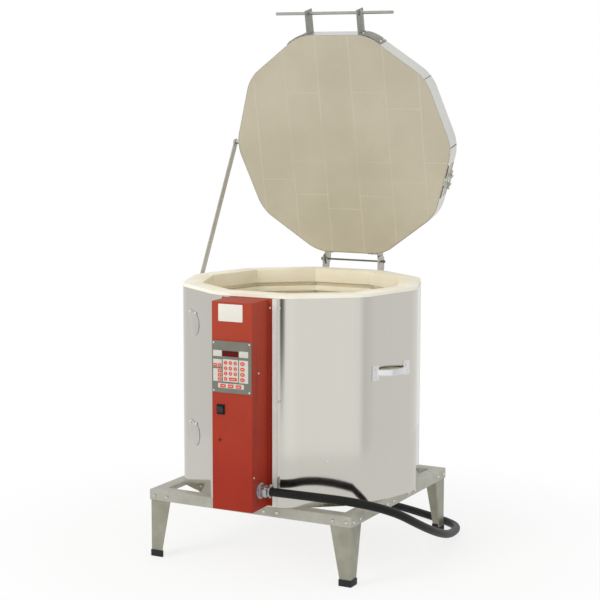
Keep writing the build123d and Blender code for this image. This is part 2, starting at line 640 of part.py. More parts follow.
# Lid slab of bricks cemented in strips
with BuildPart() as lid_slab:
    with BuildSketch(at(lid_at, Plane.XY.offset(LID_BOTTOM))):
        RegularPolygon(BRICK_APOTHEM, SIDES, major_radius=False)
        fillet(vertices(), BRICK_CORNER)
    extrude(amount=LID_THICK)
    for face_z, direction in ((LID_BOTTOM, 1), (LID_TOP, -1)):
        with BuildSketch(at(lid_at, Plane.XY.offset(face_z))):
            for seam in LID_SEAMS:
                with Locations((seam, 0)):
                    Rectangle(SEAM_WIDTH, 3 * BRICK_APOTHEM)
        extrude(amount=direction * SEAM_DEPTH, mode=Mode.SUBTRACT)
    for spot in lid_bolt_planes + ear_bolt_planes:
        with BuildSketch(at(lid_at, spot)):
            Circle(SCREW_HOLE / 2 + 0.5)
        extrude(amount=-16, mode=Mode.SUBTRACT)
    with BuildSketch(at(lid_at, Plane.YZ.offset(-BRICK_APOTHEM - 20))):
        with Locations((PROP_Y, PROP_Z)):
            Circle(PROP_HOLE / 2 + 0.2)
    extrude(amount=50, mode=Mode.SUBTRACT)
lid_slab.part.label = "lid_slab"
export_step(lid_slab.part, "parts/lid_slab.step")

# Steel band round the lid
with BuildPart() as lid_band:
    with BuildSketch(at(lid_at, Plane.XY.offset(LID_BOTTOM + BAND_INSET))):
        RegularPolygon(BAND_APOTHEM, SIDES, major_radius=False)
        fillet(vertices(), BAND_CORNER)
        offset(amount=-JACKET_SHEET, mode=Mode.SUBTRACT)
    extrude(amount=LID_THICK - 2 * BAND_INSET)
    for spot in lid_bolt_planes + ear_bolt_planes:
        with BuildSketch(at(lid_at, spot)):
            Circle(SCREW_HOLE / 2 + 0.5)
        extrude(amount=4, both=True, mode=Mode.SUBTRACT)
    with BuildSketch(at(lid_at, Plane.YZ.offset(-BRICK_APOTHEM - 20))):
        with Locations((PROP_Y, PROP_Z)):
            Circle(PROP_HOLE / 2 + 0.2)
    extrude(amount=50, mode=Mode.SUBTRACT)
lid_band.part.label = "lid_band"
export_step(lid_band.part, "parts/lid_band.step")

# Tightener of the band: strip, two lugs and a long screw
CLAMP_SIDE = 18
CLAMP_Z = LID_BOTTOM + 40
clamp_at = lid_at * facet(CLAMP_SIDE, 0, CLAMP_Z, BAND_APOTHEM + 8).location
with BuildPart() as band_clamp:
    with BuildSketch(at(lid_at, facet(CLAMP_SIDE, 0, CLAMP_Z, BAND_APOTHEM + 0.1))):
        Rectangle(112, 14)
    extrude(amount=1.2)
    with BuildSketch(at(lid_at, facet(CLAMP_SIDE, 0, CLAMP_Z, BAND_APOTHEM + 0.1))):
        with Locations((-14, 0), (14, 0)):
            Rectangle(7, 14)
    extrude(amount=13)
    with BuildSketch(at(clamp_at, Plane.YZ.offset(-34))):
        Circle(2.5)
    extrude(amount=64)
    with BuildSketch(at(clamp_at, Plane.YZ.offset(26))):
        Circle(4.5)
    extrude(amount=4)
band_clamp.part.label = "band_clamp"
export_step(band_clamp.part, "parts/band_clamp.step")

# Lid ears of the hinge, just inside the ears of the body
LID_EAR_X = EAR_X - EAR_THICK - EAR_GAP
for sign, name in ((-1, "lid_ear_left"), (1, "lid_ear_right")):
    with BuildPart() as lid_ear:
        with BuildSketch(at(lid_at, Plane.XZ.offset(-BAND_APOTHEM - 0.2 - EAR_THICK))):
            with Locations((sign * (60 + LID_EAR_X + EAR_THICK / 2) / 2, LID_BOTTOM + 31)):
                Rectangle(LID_EAR_X + EAR_THICK / 2 - 60, 50)
        extrude(amount=EAR_THICK)
        with BuildSketch(at(lid_at, Plane.YZ.offset(sign * LID_EAR_X - EAR_THICK / 2))):
            Polygon(
                (BAND_APOTHEM + 0.2 + EAR_THICK, LID_BOTTOM + 8), (BAND_APOTHEM + 0.2 + EAR_THICK, LID_BOTTOM + 54),
                (392, LID_BOTTOM + 46), (405, LID_BOTTOM + 36), (405, LID_BOTTOM + 14), (396, LID_BOTTOM + 8),
                align=None,
            )
            with Locations((HINGE_Y, HINGE_Z)):
                Circle(ROD_HOLE / 2, mode=Mode.SUBTRACT)
        extrude(amount=EAR_THICK)
        with BuildSketch(at(lid_at, Plane.XZ.offset(-BAND_APOTHEM + 3))):
            with Locations((sign * 72, LID_BOTTOM + 16), (sign * 72, LID_TOP - 14)):
                Circle(SCREW_HOLE / 2 + 0.5)
        extrude(amount=-12, mode=Mode.SUBTRACT)
    lid_ear.part.label = name
    export_step(lid_ear.part, f"parts/{name}.step")

# Handle straps bent round the front corners of the lid
STRAP_INNER = BAND_APOTHEM + 0.3
tip_x = BAND_APOTHEM * tan(radians(180 / SIDES)) + 53 * cos(radians(36))
tip_y = -BAND_APOTHEM + 53 * sin(radians(36))
for sign, name in ((-1, "lid_handle_left"), (1, "lid_handle_right")):
    with BuildPart() as lid_handle:
        with BuildSketch(at(lid_at, Plane.XY.offset(STRAP_BOTTOM))):
            RegularPolygon(STRAP_INNER + STRAP_THICK, SIDES, major_radius=False)
            fillet(vertices(), BAND_CORNER + STRAP_THICK + 0.3)
            offset(amount=-STRAP_THICK, mode=Mode.SUBTRACT)
            Polygon(
                (sign * (LEG_X - STRAP_THICK / 2), -300), (sign * (LEG_X - STRAP_THICK / 2), -400),
                (sign * (tip_x + 0.588 * 60), tip_y - 0.809 * 60), (sign * (tip_x - 0.588 * 40), tip_y + 0.809 * 40),
                align=None, mode=Mode.INTERSECT,
            )
            with Locations((sign * LEG_X, -(LEG_REACH + STRAP_INNER) / 2)):
                Rectangle(STRAP_THICK, LEG_REACH - STRAP_INNER)
        extrude(amount=STRAP_WIDTH)
        with BuildSketch(at(lid_at, Plane.YZ.offset(sign * LEG_X - 10))):
            with Locations((BAR_Y, BAR_Z)):
                Circle(BAR_HOLE / 2)
        extrude(amount=20, mode=Mode.SUBTRACT)
        for spot in lid_bolt_planes:
            with BuildSketch(at(lid_at, spot)):
                Circle(SCREW_HOLE / 2 + 0.5)
            extrude(amount=8, mode=Mode.SUBTRACT)
    lid_handle.part.label = name
    export_step(lid_handle.part, f"parts/{name}.step")

# Bolts of the handle straps and of the lid ears
with BuildPart() as lid_bolts:
    for spot in lid_bolt_planes + ear_bolt_planes:
        with BuildSketch(at(lid_at, spot.offset(STRAP_SEAT))):
            Circle(SCREW_HEAD / 2 + 0.8)
        extrude(amount=3.2, taper=20)
        with BuildSketch(at(lid_at, spot.offset(STRAP_SEAT))):
            Circle(SCREW_SHANK / 2 + 0.4)
        extrude(amount=-18)
lid_bolts.part.label = "lid_bolts"
export_step(lid_bolts.part, "parts/lid_bolts.step")

# Handle bar and the wire rings that keep it in place
with BuildPart() as handle_bar:
    with BuildSketch(at(lid_at, Plane.YZ.offset(-BAR_HALF))):
        with Locations((BAR_Y, BAR_Z)):
            Circle(BAR_DIAMETER / 2)
    extrude(amount=2 * BAR_HALF)
    chamfer(edges().filter_by(GeomType.CIRCLE), 1.0)
handle_bar.part.label = "handle_bar"
export_step(handle_bar.part, "parts/handle_bar.step")

with BuildPart() as bar_rings:
    for sign in (-1, 1):
        with BuildSketch(at(lid_at, Plane.YZ.offset(sign * (LEG_X + 3.5) - RING_WIRE / 2))):
            with Locations((BAR_Y, BAR_Z)):
                Circle(BAR_DIAMETER / 2 + RING_WIRE + 1)
                Circle(BAR_DIAMETER / 2 + 0.02, mode=Mode.SUBTRACT)
        extrude(amount=RING_WIRE)
bar_rings.part.label = "bar_rings"
export_step(bar_rings.part, "parts/bar_rings.step")

# Prop arm, from the bolt in the lid down through the loop on the body
prop_pivot = (lid_at * Location((0, PROP_Y, PROP_Z))).position
arm_run = hypot(KEEPER_Y - prop_pivot.Y, KEEPER_Z - prop_pivot.Z)
arm_y = (KEEPER_Y - prop_pivot.Y) / arm_run
arm_z = (KEEPER_Z - prop_pivot.Z) / arm_run
arm_length = arm_run + ARM_TAIL - ARM_WIDTH / 2
arm_middle = (prop_pivot.Y + arm_y * arm_length / 2, prop_pivot.Z + arm_z * arm_length / 2)
with BuildPart() as prop_arm:
    with BuildSketch(Plane.YZ.offset(ARM_INNER_X - ARM_THICK)):
        with Locations(arm_middle):
            SlotCenterToCenter(arm_length, ARM_WIDTH, rotation=degrees(atan2(arm_z, arm_y)))
        with Locations((prop_pivot.Y, prop_pivot.Z)):
            Circle(PROP_HOLE / 2, mode=Mode.SUBTRACT)
    extrude(amount=ARM_THICK)
prop_arm.part.label = "prop_arm"
export_step(prop_arm.part, "parts/prop_arm.step")

# Bolt of the prop arm with its spacer
BAND_TIP = (BAND_APOTHEM - BAND_CORNER) / cos(radians(180 / SIDES)) + BAND_CORNER
with BuildPart() as prop_bolt:
    with BuildSketch(at(lid_at, Plane.YZ.offset(ARM_INNER_X - ARM_THICK - 0.3))):
        with Locations((PROP_Y, PROP_Z)):
            Circle(PROP_BOLT / 2)
    extrude(amount=-ARM_INNER_X + ARM_THICK + 0.3 - 345)
    with BuildSketch(at(lid_at, Plane.YZ.offset(ARM_INNER_X - ARM_THICK - 5.3))):
        with Locations((PROP_Y, PROP_Z)):
            RegularPolygon(7.5, 6)
    extrude(amount=5)
    with BuildSketch(at(lid_at, Plane.YZ.offset(ARM_INNER_X + 0.3))):
        with Locations((PROP_Y, PROP_Z)):
            Circle(8)
    extrude(amount=-BAND_TIP - 0.2 - ARM_INNER_X - 0.3)
prop_bolt.part.label = "prop_bolt"
export_step(prop_bolt.part, "parts/prop_bolt.step")

# Loop on the left corner of the body that the arm slides through
TIP_CENTRE = (JACKET_APOTHEM - JACKET_CORNER) / cos(radians(180 / SIDES))
LOOP_OUT = ARM_INNER_X - ARM_THICK - 2.5 - KEEPER_THICK
KEEPER_FRONT = KEEPER_Y - KEEPER_HALF - KEEPER_THICK
KEEPER_REAR = KEEPER_Y + KEEPER_HALF + KEEPER_THICK
with BuildPart() as prop_keeper:
    with BuildSketch(Plane.XY.offset(KEEPER_Z - KEEPER_HEIGHT / 2)):
        with Locations((-TIP_CENTRE, 0)):
            Circle(JACKET_CORNER + 0.3 + KEEPER_THICK)
            Circle(JACKET_CORNER + 0.3, mode=Mode.SUBTRACT)
        Polygon(
            (-400, -24), (-300, -24), (-300, 34), (-400, 34),
            align=None, mode=Mode.INTERSECT,
        )
        with Locations((LOOP_OUT + KEEPER_THICK / 2, KEEPER_Y)):
            Rectangle(KEEPER_THICK, 2 * KEEPER_HALF + 2 * KEEPER_THICK)
        for wall_y, reach in ((KEEPER_FRONT + KEEPER_THICK / 2, 370.8), (KEEPER_REAR - KEEPER_THICK / 2, 366.6)):
            with Locations((-(reach - LOOP_OUT) / 2, wall_y)):
                Rectangle(-LOOP_OUT - reach, KEEPER_THICK)
    extrude(amount=KEEPER_HEIGHT)
    with BuildSketch(Plane.YZ.offset(-390)):
        with Locations(*keeper_screw_list):
            Circle(SCREW_HOLE / 2)
    extrude(amount=30, mode=Mode.SUBTRACT)
    for along, height in keeper_screw_list:
        with BuildSketch(Plane.YZ.offset(-374.2)):
            with Locations((along, height)):
                Circle(3.4)
        extrude(amount=-1.6)
        with BuildSketch(Plane.YZ.offset(-374.2)):
            with Locations((along, height)):
                Circle(SCREW_SHANK / 2)
        extrude(amount=14)
prop_keeper.part.label = "prop_keeper"
export_step(prop_keeper.part, "parts/prop_keeper.step")

# Chrome side handles
for angle, name in ((342, "side_handle_right"), (162, "side_handle_left")):
    level = at(facet(angle, SIDE_HANDLE_ALONG, SIDE_HANDLE_Z, JACKET_APOTHEM + 0.1).location, Plane.XZ)
    with BuildPart() as side_handle:
        with BuildSketch(facet(angle, SIDE_HANDLE_ALONG, SIDE_HANDLE_Z, JACKET_APOTHEM + 0.1)):
            with Locations((-SIDE_HANDLE_HALF, 0), (SIDE_HANDLE_HALF, 0)):
                RectangleRounded(SIDE_PLATE_WIDTH, SIDE_PLATE_HEIGHT, 5)
        extrude(amount=SIDE_PLATE_THICK)
        with BuildSketch(level):
            with BuildLine():
                ThreePointArc((-64, 1), (0, SIDE_GRIP_REACH), (64, 1))
                Line((64, 1), (52, 1))
                ThreePointArc((52, 1), (0, SIDE_GRIP_REACH - SIDE_GRIP_THICK), (-52, 1))
                Line((-52, 1), (-64, 1))
            make_face()
        extrude(amount=SIDE_GRIP_HEIGHT / 2, both=True)
        with BuildSketch(facet(angle, SIDE_HANDLE_ALONG, SIDE_HANDLE_Z, JACKET_APOTHEM)):
            with GridLocations(2 * SIDE_HANDLE_HALF, 25.2, 2, 2):
                Circle(SCREW_HOLE / 2)
        extrude(amount=10, mode=Mode.SUBTRACT)
    side_handle.part.label = name
    export_step(side_handle.part, f"parts/{name}.step")

# Sheet cover of the control box
box_height = BOX_TOP - BOX_BOTTOM
with BuildPart() as control_cover:
    with BuildSketch(Plane.XY.offset(BOX_BOTTOM)):
        with Locations((BOX_X, BOX_MIDDLE_Y)):
            Rectangle(BOX_WIDTH, BOX_DEPTH)
    extrude(amount=box_height)
    fillet(edges().filter_by(Axis.Z).sort_by(Axis.Y)[:2], BOX_BEND)
    with BuildSketch(Plane.XY.offset(BOX_BOTTOM + BOX_SHEET)):
        with Locations((BOX_X, BOX_MIDDLE_Y + BOX_SHEET)):
            Rectangle(BOX_WIDTH - 2 * BOX_SHEET, BOX_DEPTH)
    extrude(amount=box_height - 2 * BOX_SHEET, mode=Mode.SUBTRACT)
    with BuildSketch(Plane.XZ.offset(-BOX_BACK)):
        with Locations((BOX_LEFT - BOX_FLANGE / 2 + 0.5, (BOX_TOP + BOX_BOTTOM) / 2)):
            Rectangle(BOX_FLANGE + 1, box_height)
        with Locations((BOX_RIGHT + BOX_FLANGE / 2 - 0.5, (BOX_TOP + BOX_BOTTOM) / 2)):
            Rectangle(BOX_FLANGE + 1, box_height)
    extrude(amount=BOX_SHEET)
    # openings behind the keypad, for the rocker and for the small lamp
    with BuildSketch(Plane.XZ.offset(-BOX_FRONT + 1)):
        with Locations((BOX_X, PANEL_Z)):
            Rectangle(PANEL_WIDTH - 26, PANEL_HEIGHT - 20)
            with GridLocations(PANEL_WIDTH - 12, PANEL_HEIGHT - 12, 2, 2):
                Circle(1.7)
        with Locations((ROCKER_X, ROCKER_Z)):
            Rectangle(21.2, 25.2)
        with Locations(LAMP_AT):
            Circle(3.1)
    extrude(amount=-5, mode=Mode.SUBTRACT)
    with BuildSketch(Plane.YZ.offset(BOX_RIGHT + 1)):
        with Locations((GLAND_Y, GLAND_Z)):
            Circle(17.7)
        with Locations(*SIDE_SCREWS):
            Circle(1.7)
    extrude(amount=-5, mode=Mode.SUBTRACT)
    with BuildSketch(Plane.XZ.offset(-BOX_BACK - 2)):
        with Locations((65, 793), (65, 237), (-82.5, 793), (-82.5, 237)):
            Circle(SCREW_HOLE / 2)
    extrude(amount=6, mode=Mode.SUBTRACT)
control_cover.part.label = "control_cover"
export_step(control_cover.part, "parts/control_cover.step")

# Keypad panel with a recess for the display
with BuildPart() as keypad_panel:
    with BuildSketch(Plane.XZ.offset(-BOX_FRONT)):
        with Locations((BOX_X, PANEL_Z)):
            RectangleRounded(PANEL_WIDTH, PANEL_HEIGHT, 4)
            with GridLocations(PANEL_WIDTH - 12, PANEL_HEIGHT - 12, 2, 2):
                Circle(1.7, mode=Mode.SUBTRACT)
        with Locations((WINDOW_X, WINDOW_Z)):
            Rectangle(WINDOW_WIDTH, WINDOW_HEIGHT, mode=Mode.SUBTRACT)
    extrude(amount=PANEL_THICK)
keypad_panel.part.label = "keypad_panel"
export_step(keypad_panel.part, "parts/keypad_panel.step")

with BuildPart() as display_window:
    with BuildSketch(Plane.XZ.offset(-BOX_FRONT)):
        with Locations((WINDOW_X, WINDOW_Z)):
            Rectangle(WINDOW_WIDTH - 2 * WINDOW_FIT, WINDOW_HEIGHT - 2 * WINDOW_FIT)
    extrude(amount=PANEL_THICK - 0.3)
display_window.part.label = "display_window"
export_step(display_window.part, "parts/display_window.step")

# Membrane keys: number pad, wide key, side keys and bottom keys
with BuildPart() as keys:
    with BuildSketch(Plane((0, PANEL_FACE, PANEL_Z), x_dir=(1, 0, 0), z_dir=(0, -1, 0))):
        with Locations((-12.5, -3.3)):
            with GridLocations(15.6, 15.8, 3, 3):
                Circle(5)
        with Locations((-28.1, -34.3)):
            Circle(5)
        with Locations((-4.6, -34.3)):
            SlotOverall(25, 9)
        for key_z in (12.7, -2.8, -18.3, -33.8):
            with Locations((26, key_z)):
                SlotOverall(13, 8)
        for key_z in (-11.8, -24.3, -36.8):
            with Locations((-47.3, key_z)):
                Circle(4)
        with Locations((-61.5, 4.5), (-47.4, 4.5)):
            Circle(4)
        with Locations((-36.5, -54.8), (-11.5, -54.8), (13.5, -54.8)):
            RectangleRounded(17, 9, 2)
    extrude(amount=KEY_THICK)
keys.part.label = "keys"
export_step(keys.part, "parts/keys.step")

# Bare plate above the keypad
with BuildPart() as label_plate:
    with BuildSketch(Plane.XZ.offset(-BOX_FRONT)):
        with Locations((-13, BOX_TOP - 31)):
            RectangleRounded(77.5, 49.8, 2)
    extrude(amount=KEY_THICK)
label_plate.part.label = "label_plate"
export_step(label_plate.part, "parts/label_plate.step")

# Screws of the panel and of the box sides, and the small lamp
with BuildPart() as box_screws:
    with BuildSketch(Plane.XZ.offset(-PANEL_FACE)):
        with Locations((BOX_X, PANEL_Z)):
            with GridLocations(PANEL_WIDTH - 12, PANEL_HEIGHT - 12, 2, 2):
                Circle(3)
    extrude(amount=1.8, taper=20)
    with BuildSketch(Plane.XZ.offset(-PANEL_FACE)):
        with Locations((BOX_X, PANEL_Z)):
            with GridLocations(PANEL_WIDTH - 12, PANEL_HEIGHT - 12, 2, 2):
                Circle(1.5)
    extrude(amount=-PANEL_THICK - BOX_SHEET - 4)
    with BuildSketch(Plane.XZ.offset(-BOX_FRONT)):
        with Locations(LAMP_AT):
            Circle(4)
    extrude(amount=1.5)
    with BuildSketch(Plane.XZ.offset(-BOX_FRONT)):
        with Locations(LAMP_AT):
            Circle(3)
    extrude(amount=-8)
    with BuildSketch(Plane.YZ.offset(BOX_RIGHT)):
        with Locations(*SIDE_SCREWS):
            Circle(3)
    extrude(amount=1.8, taper=20)
    with BuildSketch(Plane.YZ.offset(BOX_RIGHT)):
        with Locations(*SIDE_SCREWS):
            Circle(1.5)
    extrude(amount=-6)
box_screws.part.label = "box_screws"
export_step(box_screws.part, "parts/box_screws.step")

# Frame and housing of the rocker switch
PIVOT_Y = BOX_FRONT - 0.5
CAVITY_HALF = ROCKER_RADIUS + ROCKER_GAP
with BuildPart() as rocker_bezel:
    with BuildSketch(Plane.XZ.offset(-BOX_FRONT)):
        with Locations((ROCKER_X, ROCKER_Z)):
            RectangleRounded(BEZEL_WIDTH, BEZEL_HEIGHT, 2)
    extrude(amount=2.5)
    with BuildSketch(Plane.XZ.offset(-BOX_FRONT)):
        with Locations((ROCKER_X, ROCKER_Z)):
            Rectangle(21, 25)
    extrude(amount=-20)
    with BuildSketch(Plane.XZ.offset(-BOX_FRONT - 16)):
        with Locations((ROCKER_X, ROCKER_Z)):
            Rectangle(ROCKER_WIDTH + 2 * ROCKER_GAP, 2 * CAVITY_HALF)
    extrude(amount=30, mode=Mode.SUBTRACT)
    with BuildSketch(Plane.YZ.offset(ROCKER_X - 10.2)):
        with Locations((PIVOT_Y, ROCKER_Z)):
            Circle(AXLE_HOLE / 2)
    extrude(amount=20.4, mode=Mode.SUBTRACT)
rocker_bezel.part.label = "rocker_bezel"
export_step(rocker_bezel.part, "parts/rocker_bezel.step")

# Rocker with its axle, resting on the side that is off
rock_at = Location((ROCKER_X, PIVOT_Y, ROCKER_Z), (ROCKER_TILT, 0, 0))
with BuildPart() as rocker_switch:
    with BuildSketch(at(rock_at, Plane.YZ.offset(-ROCKER_WIDTH / 2))):
        Circle(ROCKER_RADIUS)
        Polygon(
            (14, -14), (14, 14), (-6, 14), (-6, 8.6), (-3.4, 0), (-6, -8.6), (-6, -14),
            align=None, mode=Mode.INTERSECT,
        )
    extrude(amount=ROCKER_WIDTH)
    with BuildSketch(at(rock_at, Plane.YZ.offset(-10.1))):
        Circle(AXLE / 2)
    extrude(amount=20.2)
rocker_switch.part.label = "rocker_switch"
export_step(rocker_switch.part, "parts/rocker_switch.step")

# Circuit board on four pillars behind the keypad
BOX_INSIDE = BOX_FRONT + BOX_SHEET
with BuildPart() as control_board:
    with BuildSketch(Plane.XZ.offset(-BOX_INSIDE)):
        with Locations((BOX_X, PANEL_Z)):
            with GridLocations(108, 112, 2, 2):
                Circle(3)
    extrude(amount=-8)
    with BuildSketch(Plane.XZ.offset(-BOX_INSIDE - 8)):
        with Locations((BOX_X, PANEL_Z)):
            Rectangle(116, 144)
            with GridLocations(PANEL_WIDTH - 12, PANEL_HEIGHT - 12, 2, 2):
                Circle(2.5, mode=Mode.SUBTRACT)
    extrude(amount=-1.6)
    with BuildSketch(Plane.XZ.offset(-BOX_INSIDE - 8)):
        with Locations((WINDOW_X, WINDOW_Z)):
            Rectangle(50, 15)
    extrude(amount=7)
    with BuildSketch(Plane.XZ.offset(-BOX_INSIDE - 9)):
        with Locations((-30, 610), (10, 640), (10, 590)):
            Rectangle(24, 18)
    extrude(amount=-9)
control_board.part.label = "control_board"
export_step(control_board.part, "parts/control_board.step")

# Three relays on the left wall of the box and a terminal block on the right wall
BOX_WALL_LEFT = BOX_LEFT + BOX_SHEET
BOX_WALL_RIGHT = BOX_RIGHT - BOX_SHEET
with BuildPart() as relays:
    for relay_z in (300, 370, 440):
        with BuildSketch(Plane.YZ.offset(BOX_WALL_LEFT)):
            with Locations((-408, relay_z)):
                Rectangle(50, 56)
        extrude(amount=34)
        with BuildSketch(Plane.YZ.offset(BOX_WALL_LEFT + 34)):
            with Locations((-408, relay_z)):
                with GridLocations(20, 36, 2, 2):
                    Rectangle(6, 1.5)
        extrude(amount=8)
relays.part.label = "relays"
export_step(relays.part, "parts/relays.step")

with BuildPart() as transformer:
    with BuildSketch(Plane.XZ.offset(-BOX_INSIDE)):
        with Locations((BOX_X, 755)):
            Rectangle(70, 44)
    extrude(amount=-3)
    with BuildSketch(Plane.XZ.offset(-BOX_INSIDE - 3)):
        with Locations((BOX_X, 755)):
            Rectangle(48, 40)
    extrude(amount=-36)
    with BuildSketch(Plane.XZ.offset(-BOX_INSIDE - 8)):
        with Locations((BOX_X, 755)):
            Rectangle(58, 26)
    extrude(amount=-26)
transformer.part.label = "transformer"
export_step(transformer.part, "parts/transformer.step")

# Thermocouple rod through the wall with its ceramic head in the box
with BuildPart() as thermocouple:
    with BuildSketch(facet(270, 0, THERMO_Z, CHAMBER_APOTHEM - 30)):
        Circle(THERMO_ROD / 2)
    extrude(amount=WALL + 45)
    with BuildSketch(facet(270, 0, THERMO_Z, JACKET_APOTHEM + 0.1)):
        RectangleRounded(30, 18, 3)
    extrude(amount=12)
thermocouple.part.label = "thermocouple"
export_step(thermocouple.part, "parts/thermocouple.step")

# Clamp connector of the power cord in the right wall of the box
GLAND_END = BOX_RIGHT + GLAND_REACH
with BuildPart() as cord_gland:
    with BuildSketch(Plane.YZ.offset(BOX_RIGHT)):
        with Locations((GLAND_Y, GLAND_Z)):
            Circle(GLAND_FLANGE / 2)
    extrude(amount=5, taper=8)
    with BuildSketch(Plane.YZ.offset(BOX_RIGHT - 12)):
        with Locations((GLAND_Y, GLAND_Z)):
            Circle(17.5)
    extrude(amount=GLAND_REACH - 4)
    with BuildSketch(Plane.YZ.offset(BOX_RIGHT - BOX_SHEET)):
        with Locations((GLAND_Y, GLAND_Z)):
            Circle(23)
    extrude(amount=-5)
    with BuildSketch(Plane.YZ.offset(BOX_RIGHT + 18)):
        with Locations((GLAND_Y, GLAND_Z)):
            RectangleRounded(50, 26, 6)
    extrude(amount=14)
    with BuildSketch(Plane.YZ.offset(BOX_RIGHT + 18)):
        with Locations((GLAND_Y, GLAND_Z)):
            Circle(CORD_DIAMETER / 2 + 2)
    extrude(amount=GLAND_REACH - 18)
    with BuildSketch(Plane.XY.offset(GLAND_Z + 13)):
        with Locations((BOX_RIGHT + 25, GLAND_Y - 19), (BOX_RIGHT + 25, GLAND_Y + 19)):
            Circle(4.5)
    extrude(amount=3.5)
cord_gland.part.label = "cord_gland"
export_step(cord_gland.part, "parts/cord_gland.step")

# Power cord: out of the gland, down past the stand and along the floor behind it
cord_points = [
    (GLAND_END, GLAND_Y, GLAND_Z),
    (215.8, GLAND_Y, GLAND_Z),
    (330.8, -346.9, 249.0),
    (411.0, -245.9, 205.0),
    (448.7, -125.5, 137.1),
    (455.5, 9.8, 81.4),
    (437.8, 149.3, 42.0),
    (405.9, 304.0, 18.3),
    (362.0, 370.6, 13.0),
    (243.4, 438.3, 12.9),
    (122.9, 495.8, 13.0),
    (-10.0, 532.0, 13.5),
    (-125.0, 545.0, 16.0),
    (-225.0, 550.0, 16.0),
]
cord_bends = []
for before, here, after in zip(cord_points, cord_points[1:], cord_points[2:]):
    into = Vector(*here) - Vector(*before)
    out_of = Vector(*after) - Vector(*here)
    half_turn = radians(into.get_angle(out_of)) / 2
    cord_bends.append(round(0.45 * min(into.length, out_of.length) / tan(half_turn), 1))
print("cord bend radii", cord_bends)
with BuildPart() as power_cord:
    with BuildLine() as cord_path:
        FilletPolyline(*cord_points, radius=cord_bends)
    with BuildSketch(Plane(origin=cord_path.line @ 0, z_dir=cord_path.line % 0)):
        Circle(CORD_DIAMETER / 2)
    sweep()
power_cord.part.label = "power_cord"
cord_run = sum(edge.length for edge in cord_path.line.edges())
cord_section = pi * (CORD_DIAMETER / 2) ** 2
print("cord length", cord_run, "volume over section", power_cord.part.volume / cord_section)
export_step(power_cord.part, "parts/power_cord.step")

# Flat plug with three blades at the end of the cord
plug_start = cord_path.line @ 1
plug_way = cord_path.line % 1
plug_at = Plane(origin=plug_start, x_dir=(plug_way.Y, -plug_way.X, 0), z_dir=plug_way)
with BuildPart() as plug:
    with BuildSketch(plug_at):
        Circle(CORD_DIAMETER / 2 + 3)
    extrude(amount=26)
    with BuildSketch(plug_at.offset(20)):
        RectangleRounded(56, 32, 8)
    extrude(amount=40)
    with BuildSketch(plug_at.offset(60)):
        with Locations((-14, 5), (14, 5)):
            Rectangle(2.4, 9)
        with Locations((0, -8)):
            Circle(3.6)
    extrude(amount=21)
plug.part.label = "plug"
export_step(plug.part, "parts/plug.step")
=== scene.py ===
import bpy
import json
from math import cos, pi, radians, sin, tan
from mathutils import Matrix, Vector


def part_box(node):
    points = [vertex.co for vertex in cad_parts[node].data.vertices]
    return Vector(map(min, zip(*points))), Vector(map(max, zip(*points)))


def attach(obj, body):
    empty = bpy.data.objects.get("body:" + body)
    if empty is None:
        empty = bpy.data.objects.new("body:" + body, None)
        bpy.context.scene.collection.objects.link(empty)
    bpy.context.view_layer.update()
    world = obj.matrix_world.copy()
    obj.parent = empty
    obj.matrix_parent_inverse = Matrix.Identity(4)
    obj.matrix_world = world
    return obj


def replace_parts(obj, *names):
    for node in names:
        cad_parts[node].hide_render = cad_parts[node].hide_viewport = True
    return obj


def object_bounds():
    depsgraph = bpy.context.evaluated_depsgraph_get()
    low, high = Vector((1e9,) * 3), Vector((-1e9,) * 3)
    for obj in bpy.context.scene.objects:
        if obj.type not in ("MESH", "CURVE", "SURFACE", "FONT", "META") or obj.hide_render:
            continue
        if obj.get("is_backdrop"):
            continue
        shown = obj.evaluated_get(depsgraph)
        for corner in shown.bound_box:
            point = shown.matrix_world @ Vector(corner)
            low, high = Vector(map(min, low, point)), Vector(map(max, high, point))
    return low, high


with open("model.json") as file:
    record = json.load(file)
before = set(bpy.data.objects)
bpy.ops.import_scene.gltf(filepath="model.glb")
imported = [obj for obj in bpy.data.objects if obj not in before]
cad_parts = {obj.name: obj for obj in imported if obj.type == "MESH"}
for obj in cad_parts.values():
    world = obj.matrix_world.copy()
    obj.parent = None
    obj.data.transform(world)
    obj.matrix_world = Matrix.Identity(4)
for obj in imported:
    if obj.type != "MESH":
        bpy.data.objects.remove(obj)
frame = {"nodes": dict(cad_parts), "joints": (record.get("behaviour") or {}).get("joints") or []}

scene = bpy.context.scene
cad_nodes = frame["nodes"]
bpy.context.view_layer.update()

# Camera: a long lens from the front right, level with the open lid and tipped
# a little down. Its place follows from the stand's edges and the body's corners.
bpy.ops.object.camera_add(
    location=(2.12965, -4.51964, 1.44442),
    rotation=(radians(82.2922), radians(-0.1062), radians(25.352)),
)
camera = bpy.context.object
camera.data.lens = 98.241
camera.data.sensor_width = 36
camera.data.clip_end = 50
scene.camera = camera
scene.view_settings.view_transform = "Standard"


